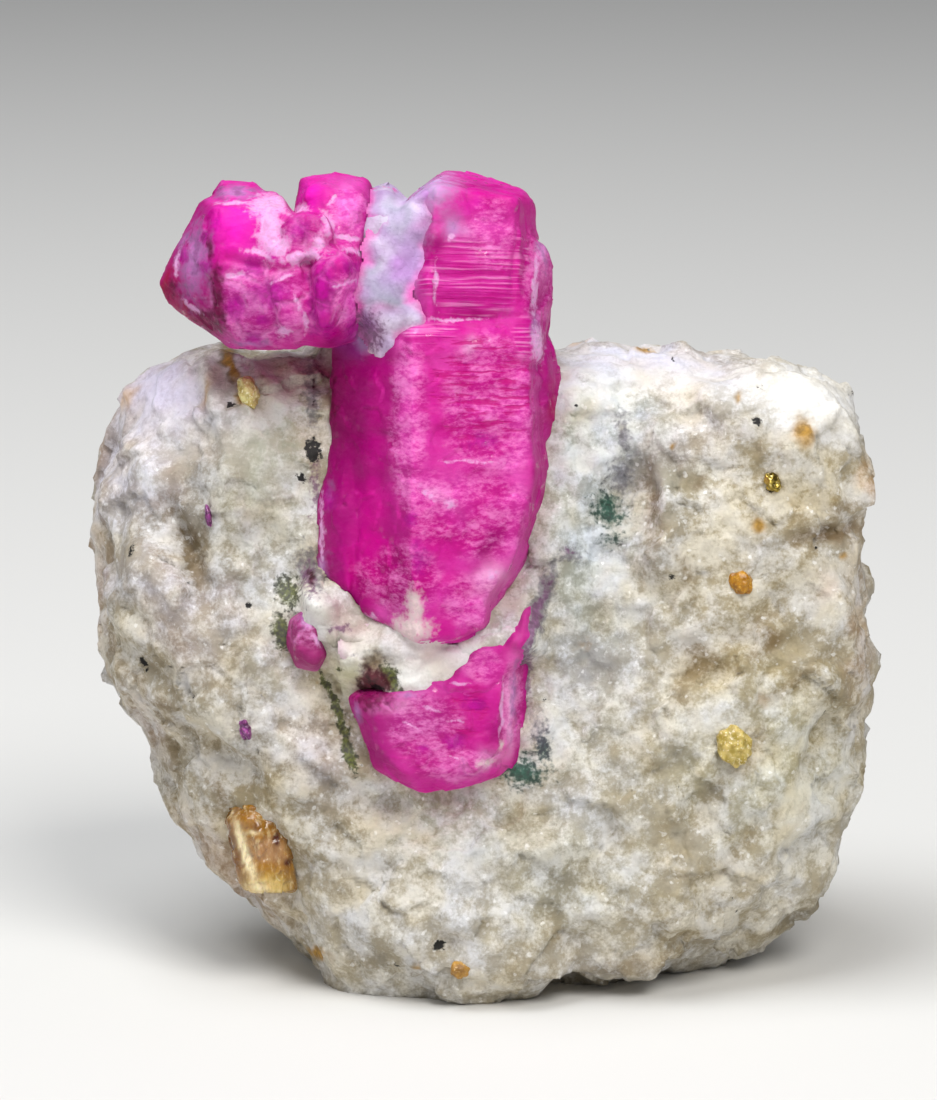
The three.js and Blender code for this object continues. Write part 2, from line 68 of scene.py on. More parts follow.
@dataclass(frozen=True)
class ShowFace:
    """The face that the crystals stand on, leaning back over the base.

    Attributes:
        lean: angle of the face from the vertical, in radians.
        origin: the face's own origin over the base.
    """

    lean: float = math.radians(12)
    origin: tuple[float, float, float] = (-0.75, 0.27, 25.0)

    def turned(self, ways: Array) -> Array:
        """Turns directions into the face's frame.

        Args:
            ways: directions of the world.

        Returns:
            The same directions as [u, v, out].
        """
        sine, cosine = math.sin(self.lean), math.cos(self.lean)
        x, y, z = ways.T
        return np.stack([x, y * sine + z * cosine, z * sine - y * cosine], axis=1)

    def from_world(self, metres: Array) -> Array:
        """Points of the world, in metres, as [u, v, out] in millimetres."""
        return self.turned(metres / MM - np.array(self.origin))

    def to_world(self, where: Array) -> Array:
        """Turns points of the face into points of the world.

        Args:
            where: points [u, v, out].

        Returns:
            The same points in the world, in metres.
        """
        sine, cosine = math.sin(self.lean), math.cos(self.lean)
        u, v, out = where.T
        turned = np.stack([u, v * sine - out * cosine, v * cosine + out * sine], axis=1)
        return (turned + np.array(self.origin)) * MM


FACE = ShowFace()


def smoothstep(values: Array, low: float, high: float) -> Array:
    """Values eased from 0 at low to 1 at high."""
    share = np.clip((values - low) / (high - low), 0, 1)
    return share * share * (3 - 2 * share)


@dataclass(frozen=True)
class Spot:
    """An oval place on the show face, turned in the face.

    Attributes:
        u: its middle, to the right.
        v: its middle, up the face.
        across: half its width.
        along: half its height.
        strength: how strong its mark is, or how far it rises or sinks.
        turn: how far it is turned anticlockwise, in degrees.
    """

    u: float
    v: float
    across: float
    along: float
    strength: float = 1.0
    turn: float = 0.0

    def reach(self, where: Array) -> Array:
        """How far points lie from the middle.

        Args:
            where: points.

        Returns:
            0 in the middle and 1 at the oval's edge.
        """
        turn = math.radians(self.turn)
        right, up = where[:, 0] - self.u, where[:, 1] - self.v
        across = (right * math.cos(turn) + up * math.sin(turn)) / self.across
        along = (up * math.cos(turn) - right * math.sin(turn)) / self.along
        return np.hypot(across, along)

    def glow(self, where: Array) -> Array:
        """A soft mark that fades out from the middle."""
        return self.strength * np.exp(-self.reach(where) ** 2)


def ovals(*places: tuple[float, ...]) -> list[Spot]:
    """Spots, from the values of their fields."""
    return [Spot(*place) for place in places]


def glow_of(spots: Iterable[Spot], where: Array) -> Array:
    """Soft marks added together, one value for each point."""
    return sum((spot.glow(where) for spot in spots), np.zeros(len(where)))


def shape_of(spots: Iterable[Spot], where: Array) -> Array:
    """How deep points lie inside the nearest of some ovals.

    Args:
        spots: the ovals.
        where: points.

    Returns:
        Each point's depth, an oval's strength in its middle and never below OUTSIDE.
    """
    depth = np.full(len(where), OUTSIDE)
    for spot in spots:
        depth = np.maximum(depth, spot.strength - spot.reach(where))
    return depth


# --- randomness in space


class Noise:
    """Smooth noise and crystal grains that fill space, the same on every run.

    Attributes:
        CELLS: how many cells there are along each axis before the noise repeats.
        GAIN: brings smooth noise to about -1 to 1.
        OCTAVE_SHIFT: how far apart in space the layers of fractal noise are read.
        WARP_SHIFTS: where the three noises that move points about are read.
    """

    CELLS = 256
    GAIN = 1.7
    OCTAVE_SHIFT = 17.3
    WARP_SHIFTS = (3.1, 47.7, 91.9)

    def __init__(self, seed: int) -> None:
        """Draws the tables that all the noise reads.

        Args:
            seed: number that the tables are drawn from.
        """
        drawn = np.random.default_rng(seed)
        order = drawn.permutation(self.CELLS)
        self.order = np.concatenate([order, order])
        ways = drawn.normal(size=(self.CELLS, 3))
        self.ways = ways / np.linalg.norm(ways, axis=1, keepdims=True)
        self.jitter = drawn.uniform(-0.5, 0.5, size=(self.CELLS, 3))

    def _key(self, cell: Array) -> Array:
        """A row of the tables for each cell of a grid."""
        x, y, z = (cell & (self.CELLS - 1)).T
        return self.order[self.order[self.order[x] + y] + z]

    def smooth(self, where: Array, wave: float | tuple[float, float, float]) -> Array:
        """Smooth noise from about -1 to 1.

        Args:
            where: points.
            wave: size of its lumps, in the points' units, or one size for each axis.

        Returns:
            One value for each point.
        """
        place = where / np.asarray(wave)
        cell = np.floor(place).astype(int)
        part = place - cell
        ease = part**3 * (part * (part * 6 - 15) + 10)
        total = np.zeros(len(where))
        for corner in itertools.product((0, 1), repeat=3):
            step = np.array(corner)
            weight = np.prod(np.where(step == 1, ease, 1 - ease), axis=1)
            slope = self.ways[self._key(cell + step)]
            total += weight * ((part - step) * slope).sum(axis=1)
        return total * self.GAIN

    def fractal(self, where: Array, wave: float, octaves: int = 3) -> Array:
        """Noise with ever finer lumps, each layer half as strong as the one before.

        Args:
            where: points.
            wave: size of its largest lumps, in the points' units.
            octaves: how many layers it has.

        Returns:
            One value for each point.
        """
        total = np.zeros(len(where))
        for octave in range(octaves):
            shifted = where + self.OCTAVE_SHIFT * octave
            total += self.smooth(shifted, wave / 2**octave) / 2**octave
        return total

    def ribs(self, where: Array, wave: float | tuple[float, float, float]) -> Array:
        """Noise with sharp crests, from about -1 to 0.5."""
        return 0.5 - 2 * np.abs(self.smooth(where, wave))

    def warped(self, where: Array, wave: float, reach: float) -> Array:
        """Points moved about by noise, so that marks placed by them get ragged edges."""
        shifts = [self.smooth(where + shift, wave) for shift in self.WARP_SHIFTS]
        return where + reach * np.stack(shifts, axis=1)

    def facets(self, where: Array, size: float) -> Array:
        """Height of a surface broken along crystal grains, each with a flat face of its own.

        Args:
            where: points.
            size: size of the grains, in the points' units.

        Returns:
            The height of each point, in the same units.
        """
        place = where / size
        cell = np.floor(place).astype(int)
        nearest = np.full(len(where), np.inf)
        height = np.zeros(len(where))
        for corner in itertools.product((-1, 0, 1), repeat=3):
            key = self._key(cell + np.array(corner))
            offset = place - cell - np.array(corner) - 0.5 - self.jitter[key]
            distance = (offset**2).sum(axis=1)
            closer = distance < nearest
            nearest[closer] = distance[closer]
            tilt = self.ways[self.order[key]]
            height[closer] = (offset * tilt).sum(axis=1)[closer]
        return height * size


NOISE = Noise(20)


# --- meshes


def linked(name: str, mesh: Mesh) -> Object:
    """Adds an object to the scene, at the origin.

    Args:
        name: its name.
        mesh: its mesh.

    Returns:
        The new object.
    """
    made = bpy.data.objects.new(name, mesh)
    bpy.context.scene.collection.objects.link(made)
    return made


@contextmanager
def edited(mesh: Mesh) -> Iterator[bmesh.types.BMesh]:
    """Opens a mesh for bmesh operators, and writes it back afterwards.

    Args:
        mesh: the mesh to change.

    Yields:
        The mesh, open for changes.
    """
    shape = bmesh.new()
    shape.from_mesh(mesh)
    yield shape
    shape.to_mesh(mesh)
    shape.free()


def merged(node: str) -> Mesh:
    """Copies a CAD node's mesh, with faces that share their corners.

    Args:
        node: name of the node.

    Returns:
        The new mesh.
    """
    shape = bmesh.new()
    shape.from_mesh(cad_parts[node].data)
    bmesh.ops.remove_doubles(shape, verts=shape.verts, dist=WELD)
    mesh = bpy.data.meshes.new(node + "_shape")
    shape.to_mesh(mesh)
    shape.free()
    return mesh


def remeshed(node: str, voxel: float) -> Mesh:
    """A CAD node's shape as a fine even mesh, ready to be sculpted.

    Args:
        node: name of the node.
        voxel: size of the mesh's faces.

    Returns:
        The new mesh.
    """
    made = linked(node + "_voxels", merged(node))
    remesh = made.modifiers.new("voxels", "REMESH")
    remesh.mode = "VOXEL"
    remesh.voxel_size = voxel * MM
    seen = bpy.context.evaluated_depsgraph_get()
    mesh = bpy.data.meshes.new_from_object(made.evaluated_get(seen))
    bpy.data.objects.remove(made)
    return mesh


def refine(mesh: Mesh, chosen: Callable[[Array, Array], Array]) -> None:
    """Splits some faces of a mesh into four.

    Args:
        mesh: the mesh to change.
        chosen: says which faces, from their middles and normals in the show frame.
    """
    count = len(mesh.polygons)
    middles = np.empty(count * 3)
    normals = np.empty(count * 3)
    mesh.polygons.foreach_get("center", middles)
    mesh.polygons.foreach_get("normal", normals)
    middles = FACE.from_world(middles.reshape(-1, 3))
    picked = np.flatnonzero(chosen(middles, FACE.turned(normals.reshape(-1, 3))))
    with edited(mesh) as shape:
        shape.faces.ensure_lookup_table()
        edges = {edge for i in picked for edge in shape.faces[i].edges}
        bmesh.ops.subdivide_edges(shape, edges=list(edges), cuts=1, use_grid_fill=True)


class Surface:
    """The points of a mesh in the show frame, for sculpting and marking.

    Attributes:
        mesh: the mesh.
        count: how many points it has.
        where: the points.
        facing: which way the surface looks at each point.
        rim: colour that the edge fades into.
        faded: how far each point has faded into it, from 0 to 1.
    """

    def __init__(self, mesh: Mesh) -> None:
        """Reads the points of a mesh.

        Args:
            mesh: the mesh to work on.
        """
        self.mesh = mesh
        self.count = len(mesh.vertices)
        self.rim = np.ones(3)
        self.faded = np.zeros(self.count)
        points = np.empty(self.count * 3)
        mesh.vertices.foreach_get("co", points)
        self.where = FACE.from_world(points.reshape(-1, 3))
        self.facing = self._facing()

    def _facing(self) -> Array:
        """Reads the mesh's normals.

        Returns:
            Which way the surface looks at each point, in the show frame.
        """
        ways = np.empty(self.count * 3)
        self.mesh.vertex_normals.foreach_get("vector", ways)
        return FACE.turned(ways.reshape(-1, 3))

    def front(self, low: float, high: float) -> Array:
        """How much each point looks at the viewer, eased from 0 at low to 1 at high."""
        return smoothstep(self.facing[:, 2], low, high)

    def push(self, height: Array) -> None:
        """Moves each point out along its normal."""
        self.where += self.facing * height[:, None]

    def write(self) -> None:
        """Writes the points back to the mesh, and reads its new normals."""
        points = FACE.to_world(self.where)
        self.mesh.vertices.foreach_set("co", points.ravel())
        self.mesh.update()
        self.facing = self._facing()

    def mark(self, name: str, values: Array) -> None:
        """Stores one number for each point, for a material to read."""
        layer = self.mesh.attributes.new(name, "FLOAT", "POINT")
        layer.data.foreach_set("value", values.astype(np.float32))

    def arrow(self, name: str, vectors: Array) -> None:
        """Stores one vector for each point, for a material to read."""
        layer = self.mesh.attributes.new(name, "FLOAT_VECTOR", "POINT")
        layer.data.foreach_set("vector", vectors.astype(np.float32).ravel())

    def paint(self, name: str, colours: Array) -> None:
        """Stores one colour for each point, for a material to read.

        Args:
            name: the name that the material knows it by.
            colours: linear red, green and blue for each point.
        """
        layer = self.mesh.color_attributes.new(name, "FLOAT_COLOR", "POINT")
        colours = np.clip(blended(colours, self.rim, self.faded), 0, 1)
        with_alpha = np.concatenate([colours, np.ones((self.count, 1))], axis=1)
        layer.data.foreach_set("color", with_alpha.astype(np.float32).ravel())


def tree_of(mesh: Mesh) -> BVHTree:
    """A mesh as a search tree in the show frame."""
    faces = [tuple(face.vertices) for face in mesh.polygons]
    return BVHTree.FromPolygons(Surface(mesh).where.tolist(), faces)


def smoothed(mesh: Mesh, rounds: int, chosen: Array | None = None) -> None:
    """Evens out a mesh.

    Args:
        mesh: the mesh to change.
        rounds: how many times its points are drawn towards their neighbours.
        chosen: true for the points that move, if not all of them do.
    """
    axes = dict.fromkeys(("use_axis_x", "use_axis_y", "use_axis_z"), True)
    with edited(mesh) as shape:
        everywhere = chosen is None
        verts = shape.verts[:] if everywhere else list(itertools.compress(shape.verts, chosen))
        for _ in range(rounds):
            bmesh.ops.smooth_vert(shape, verts=verts, factor=0.5, **axes)


def finished(piece: Object, node: str | None, material: Material) -> None:
    """Dresses a piece and hands it to the frame.

    Args:
        piece: the finished object.
        node: the CAD node that it stands for, if any.
        material: its material.
    """
    mesh = piece.data
    mesh.materials.clear()
    mesh.materials.append(material)
    mesh.polygons.foreach_set("use_smooth", np.ones(len(mesh.polygons), dtype=bool))
    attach(piece, BODY)
    if node:
        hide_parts(node)
    triangles = sum(len(face.vertices) - 2 for face in mesh.polygons)
    LOG.info("%s: %d triangles", piece.name, triangles)


# --- colours


def linear(tone: str) -> Colour:
    """Reads a screen colour.

    Args:
        tone: the colour, such as #c8a060.

    Returns:
        Its linear red, green and blue.
    """
    channels = [int(tone[i : i + 2], 16) / 255 for i in (1, 3, 5)]
    red, green, blue = (
        c / 12.92 if c <= 0.04045 else ((c + 0.055) / 1.055) ** 2.4 for c in channels
    )
    return red, green, blue


class Tone(Enum):
    """Colours of the stone and its crystals, as screen colours; some are laid as painted light and shade.
    """

    STONE = "#bab4a7"
    STONE_WHITE = "#e4e3e1"
    STONE_GREY = "#a3a097"
    LILAC_WHITE = "#dcd3ec"
    BLUE_WHITE = "#ccd9e2"
    CHALK = "#fbfaf8"
    BEIGE = "#c9b98f"
    BROWN = "#8b6e42"
    GREEN_GREY = "#b9bfae"
    GREEN_CREAM = "#dad8b2"
    PINK_WHITE = "#dfc4d2"
    PINK_LILAC = "#e8c2e8"
    VIOLET = "#9a6cb8"
    TAN = "#c7a48e"
    ORANGE = "#d09a48"
    SEAM = "#b192c6"
    SEAM_GREY = "#949cab"
    SEAM_LILAC = "#c48cda"
    MAGENTA = "#c40486"
    BRIGHT = "#e61ab4"
    VIVID = "#d2008e"
    PLUM = "#7c1a7c"
    DEEP = "#9c006c"
    WINE = "#740046"
    CRIMSON = "#980a40"
    ROSE = "#cc309a"
    PINK = "#e056b4"
    SALMON = "#f272d0"
    BLUSH = "#d98fbe"
    DUSTY = "#962c6a"
    PALE_PINK = "#f2a8d8"
    MAUVE = "#be479a"
    GREY_LILAC = "#b48fb8"
    HONEY = "#a06e10"
    DARK_HONEY = "#6e440e"
    CREAM = "#f0e0b4"
    STRAW = "#c6a85c"
    PINK_TAN = "#a88058"
    MAROON = "#4a140c"

    @property
    def rgb(self) -> Array:
        """The tone as linear red, green and blue."""
        return np.array(linear(self.value))


@dataclass(frozen=True)
class Wash:
    """A soft patch of one tone on the show face."""

    tone: Tone
    spot: Spot

    def over(self, colours: Array, where: Array, mask: Array) -> Array:
        """The colours with this wash laid over them where the mask lets it."""
        cover = np.clip(self.spot.glow(where) * mask, 0, 1)[:, None]
        return colours * (1 - cover) + self.tone.rgb * cover


def washes(*rows: tuple[Tone | tuple[float, ...], ...]) -> list[Wash]:
    """Washes, from rows of a tone and the values of its spots."""
    return [Wash(tone, spot) for tone, *places in rows for spot in ovals(*places)]


def washed(colours: Array, laid: list[Wash], where: Array, mask: Array) -> Array:
    """Lays washes over the colours of some points.

    Args:
        colours: a colour for each point.
        laid: the washes, the later ones over the earlier.
        where: the points.
        mask: how much of a wash each point takes, from 0 to 1.

    Returns:
        The new colours.
    """
    for one in laid:
        colours = one.over(colours, where, mask)
    return colours


def blended(low: Array, high: Array, share: Array) -> Array:
    """Colours between two tones, or between colours and a tone."""
    return low * (1 - share[:, None]) + high * share[:, None]


# --- materials


class Wire:
    """A node's output, whose operators add Math nodes."""

    def __init__(self, graph: "Graph", socket: NodeSocket) -> None:
        """Wraps a socket.

        Args:
            graph: the graph that the socket belongs to.
            socket: the output socket.
        """
        self.graph = graph
        self.socket = socket

    def _math(self, operation: str, first: object, second: object) -> "Wire":
        """A Math node on two values."""
        return self.graph.node("Math", {"operation": operation}, {0: first, 1: second})

    def __add__(self, other: object) -> "Wire":
        """This plus another."""
        return self._math("ADD", self, other)

    __radd__ = __add__

    def __mul__(self, other: object) -> "Wire":
        """This times another."""
        return self._math("MULTIPLY", self, other)

    __rmul__ = __mul__

    def __sub__(self, other: object) -> "Wire":
        """This less another."""
        return self._math("SUBTRACT", self, other)

    def __rsub__(self, other: object) -> "Wire":
        """Another less this."""
        return self._math("SUBTRACT", other, self)

    def above(self, level: float, soft: float) -> "Wire":
        """0 below a level and 1 above it, easing over a width on both sides of it."""
        limits = {"Value": self, "From Min": level - soft, "From Max": level + soft}
        return self.graph.node("MapRange", {"interpolation_type": "SMOOTHSTEP"}, limits)


class Graph:
    """The nodes of one material."""

    def __init__(self, name: str) -> None:
        """Starts a material with only its Principled shader.

        Args:
            name: the material's name.
        """
        self.material = bpy.data.materials.new(name)
        self.material.use_nodes = True
        self.tree = self.material.node_tree
        self.tree.nodes.clear()
        self.shader = self.tree.nodes.new("ShaderNodeBsdfPrincipled")
        output = self.tree.nodes.new("ShaderNodeOutputMaterial")
        self.tree.links.new(self.shader.outputs[0], output.inputs["Surface"])

    def feed(self, socket: NodeSocket, value: object) -> None:
        """Links a wire to a socket, or sets the socket to a constant.

        Args:
            socket: the input socket.
            value: the wire, number, vector or colour.
        """
        if isinstance(value, Wire):
            self.tree.links.new(value.socket, socket)
        elif socket.type == "RGBA" and len(value) == 3:
            socket.default_value = (*value, 1)
        else:
            socket.default_value = value

    def node(
        self,
        kind: str,
        settings: dict[str, object] | None = None,
        sockets: dict[str | int, object] | None = None,
        output: str | int = 0,
    ) -> Wire:
        """Adds a node.

        Args:
            kind: its type, without the usual prefix.
            settings: its own settings; "stops" are a colour ramp's [place, colour] stops.
            sockets: values or wires for its inputs.
            output: the output to take.

        Returns:
            That output.
        """
        made = self.tree.nodes.new("ShaderNode" + kind)
        for key, value in (settings or {}).items():
            if key == "stops":
                self._set_stops(made.color_ramp, value)
            else:
                setattr(made, key, value)
        for key, value in (sockets or {}).items():
            self.feed(made.inputs[key], value)
        return Wire(self, made.outputs[output])

    @staticmethod
    def _set_stops(ramp: ColorRamp, stops: list[tuple[float, Colour]]) -> None:
        """Sets a colour ramp's stops.

        Args:
            ramp: the ramp.
            stops: the place and colour of each.
        """
        while len(ramp.elements) < len(stops):
            ramp.elements.new(1.0)
        for element, (place, colour) in zip(ramp.elements, stops):
            element.position = place
            element.color = (*colour, 1)

    def shade(self, **values: object) -> None:
        """Sets the shader's sockets: Base_Color=wire, Roughness=0.4 and so on."""
        for name, value in values.items():
            self.feed(self.shader.inputs[name.replace("_", " ")], value)

    def place(self, stretch: Colour = (1, 1, 1), turn: float = 0.0) -> Wire:
        """Coordinates of the object.

        Args:
            stretch: how much they are stretched along each axis.
            turn: how far they are first turned about Y, in radians.

        Returns:
            The coordinates.
        """
        inside = self.node("TexCoord", output="Object")
        scale = tuple(value / MM for value in stretch)
        sockets = {"Vector": inside, "Rotation": (0, turn, 0), "Scale": scale}
        return self.node("Mapping", {"vector_type": "POINT"}, sockets)

    def attribute(self, name: str, output: str = "Fac") -> Wire:
        """A value or colour stored on the mesh."""
        return self.node("Attribute", {"attribute_name": name}, output=output)

    def noise(self, place: Wire, wave: float, detail: float = 2.0, rough: float = 0.5) -> Wire:
        """Noise from 0 to 1 with lumps of a size in millimetres."""
        sockets = {"Vector": place, "Scale": 1 / wave, "Detail": detail, "Roughness": rough}
        return self.node("TexNoise", None, sockets)

    def mix(self, share: object, first: object, second: object, blend: str = "MIX") -> Wire:
        """Two colours mixed."""
        settings = {"data_type": "RGBA", "blend_type": blend}
        return self.node("Mix", settings, {0: share, 6: first, 7: second}, 2)

    def vector(self, operation: str, first: object, second: object, output: str = "Vector") -> Wire:
        """Vector Math on two vectors."""
        return self.node("VectorMath", {"operation": operation}, {0: first, 1: second}, output)

    def grains(self, place: Wire, size: float) -> tuple[Wire, Wire]:
        """Crystal grains of a size in millimetres.

        Args:
            place: coordinates in millimetres.
            size: the grains' size.

        Returns:
            Each grain's flat, tilted face as a height from about -0.5 to 0.5, and a random number
            for each grain.
        """
        sockets = {"Vector": place, "Scale": 1 / size}
        cells = self.node("TexVoronoi", None, sockets, "Position")
        colour = Wire(self, cells.socket.node.outputs["Color"])
        tilt = self.vector("SUBTRACT", colour, (0.5, 0.5, 0.5))
        offset = self.vector("SUBTRACT", place, cells)
        height = self.vector("DOT_PRODUCT", offset, tilt, "Value") * (1 / size)
        red = self.node("SeparateColor", None, {0: colour})
        return height, red

    def tinted(self, colour: Wire, tint: object) -> Wire:
        """A colour multiplied by another."""
        return self.mix(1.0, colour, tint, "MULTIPLY")

    def grey(self, light: Wire) -> Wire:
        """A number as a grey colour."""
        return self.node("CombineColor", None, {0: light, 1: light, 2: light})

    def bump(self, height: Wire, depth: float) -> Wire:
        """A normal bent by a height, whose full range is a depth in millimetres."""
        sockets = {"Height": height, "Distance": depth * MM, "Strength": 1.0}
        return self.node("Bump", None, sockets)


@dataclass(frozen=True)
class Stain:
    """A crisp kind of mark: its tone, and how its edge looks.

    Attributes:
        tone: its colour.
        cover: how much it hides of what it lies on.
        ragged: how much noise eats its edge.
        soft: width over which the edge fades.
        wave: size of the lumps of that noise.
        varied: how far its tone strays.
        edge: depth at which its edge lies.
        blur: how softly its light and dark patches meet.
    """

    tone: str
    cover: float = 0.9
    ragged: float = 1.4
    soft: float = 0.15
    wave: float = 0.3
    varied: float = 0.3
    edge: float = 0.16
    blur: float = 0.16


class MarbleMark(Enum):
    """The crisp marks in the marble."""

    TEAL = Stain("#124a3c", 0.92, 2.6, 0.45, 0.34, 0.5)
    PINK = Stain("#cf4aa6", 0.9, 1.2, 0.3, 0.3)
    GREY = Stain("#5e5a68", 0.65, 2.4, 0.5, 0.34)
    BROWN = Stain("#66502e", 0.75, 2.0, 0.6, 0.4)
    OLIVE = Stain("#434a0e", 0.88, 2.2, 0.35, 0.28, 0.8)
    OCHRE = Stain("#a67a18", 0.92, 1.2, 0.6, 0.4)
    PURPLE = Stain("#77406f", 0.75, 2.6, 0.45, 0.3)
    MAROON = Stain("#4a0a1e", 0.95, 1.5, 0.4, 0.4, 0.5)
    BLACK = Stain("#0c0909", 0.98, 1.7, 0.2, 0.22, 0.6)


class RubyMark(Enum):
    """The crisp marks on the rubies."""

    LILAC = Stain("#a874ac", 0.82, 2.2, 0.6, 0.6)
    DUSK = Stain("#ab0e8a", 0.72, 1.5, 0.45, 0.4, 0.2)
    WINE = Stain("#6a063c", 0.85, 2.0, 0.5, 0.5)
    MILK = Stain("#e8b0e0", 0.8, 2.0, 0.45, 0.3, 0.15)
    LAVENDER = Stain("#c2a8d6", 0.85, 0.9, 0.7, 0.5, 0.1)
    STONE = Stain("#dfcccb", 0.92, 1.4, 0.5, 0.3, 0.1)


def stained(graph: Graph, colour: Wire, marks: Iterable[Enum]) -> Wire:
    """Lays marks over a colour, by the depths that the mesh stores for them.

    Args:
        graph: the material's graph.
        colour: what lies under the marks.
        marks: their kinds, the later ones over the earlier.

    Returns:
        The colour with the marks.
    """
    place = graph.place()
    for mark in marks:
        stain = mark.value
        eaten = graph.noise(place, stain.wave, rough=0.55) - 0.5
        depth = graph.attribute(mark.name.lower()) + eaten * stain.ragged
        share = depth.above(stain.edge, stain.soft) * stain.cover
        tone = linear(stain.tone)
        light, dark = (tuple(c * (1 + side * stain.varied) for c in tone) for side in (1, -1))
        tone = graph.mix(eaten.above(0.0, stain.blur), light, dark)
        colour = graph.mix(share, colour, tone)
    return colour


@dataclass(frozen=True)
class MarbleFinish:
    """Sugary white marble: frosted grains over clearer stone, with glints and stains.

    Attributes:
        grain: size of the larger grains.
        fine_grain: size of the smaller ones.
        patch: size of the frosted patches.
        frost: size of the lumps of frost in them.
        speckle: size of the finest specks.
        cloud: size of the warm clouds.
        hue: size of the cool and creamy areas.
        relief: depth of the bumps.
        glint_level: a grain glints where its random number is above this.
        clear: tint of the clearer stone.
        warm: tint of the warm clouds.
        cool: tint of the cool areas.
        cream: tint of the creamy areas.
        frosting: colour of the frost.
        shine: colour of the glints.
    """

    grain: float = 0.5
    fine_grain: float = 0.2
    patch: float = 1.9
    frost: float = 0.55
    speckle: float = 0.2
    cloud: float = 3.4
    hue: float = 2.6
    relief: float = 0.13
    glint_level: float = 1.085
    clear: Colour = (0.66, 0.625, 0.545)
    warm: Colour = (0.82, 0.74, 0.57)
    cool: Colour = (0.96, 0.97, 1.01)
    cream: Colour = (1.0, 0.97, 0.89)
    frosting: str = "#f4f4f3"
    shine: str = "#ffffff"

    def material(self) -> Material:
        """Makes the material.

        Returns:
            The material.
        """
        graph = Graph("sugary_marble")
        place = graph.place()
        tilt, _ = graph.grains(place, self.grain)
        fine_tilt, chance = graph.grains(place, self.fine_grain)
        patches = graph.noise(place, self.patch, 3.0, 0.5)
        frost = graph.noise(place, self.frost, 3.0, 0.6)
        speckle = graph.noise(place, self.speckle, 2.0, 0.7)
        cloud = graph.noise(place, self.cloud, 2.0, 0.6)
        hue = graph.noise(place, self.hue, 2.0, 0.6)
        zone = graph.attribute("zone", "Color")
        calm = graph.attribute("calm")
        snow = graph.attribute("snow") * 0.11
        frosted = (patches * 0.5 + frost * 0.32 + speckle * 0.18 + snow).above(0.50, 0.09)
        white = graph.mix(0.4, zone, linear(self.frosting))
        colour = graph.mix(frosted, graph.tinted(zone, self.clear), white)
        warmed = cloud.above(0.58, 0.1) * 0.6
        colour = graph.mix(warmed, colour, graph.tinted(colour, self.warm))
        cool, cream = graph.tinted(colour, self.cool), graph.tinted(colour, self.cream)
        colour = graph.mix(hue.above(0.5, 0.14), cool, cream)
        light = 0.76 + speckle * 0.19 + chance * 0.07
        colour = graph.tinted(colour, graph.grey(light))
        colour = graph.mix(calm * 0.8, colour, zone)
        glint = (chance + frost * 0.2 - calm * 0.2).above(self.glint_level, 0.02)
        colour = graph.mix(glint * 0.35, colour, linear(self.shine))
        height = tilt * 0.4 + fine_tilt * 0.25 + speckle * 0.2 + frost * 0.5
        graph.shade(
            Base_Color=stained(graph, colour, MarbleMark),
            Roughness=0.58 - glint * 0.4,
            Normal=graph.bump(height, self.relief),
            Specular_IOR_Level=0.3,
        )
        return graph.material


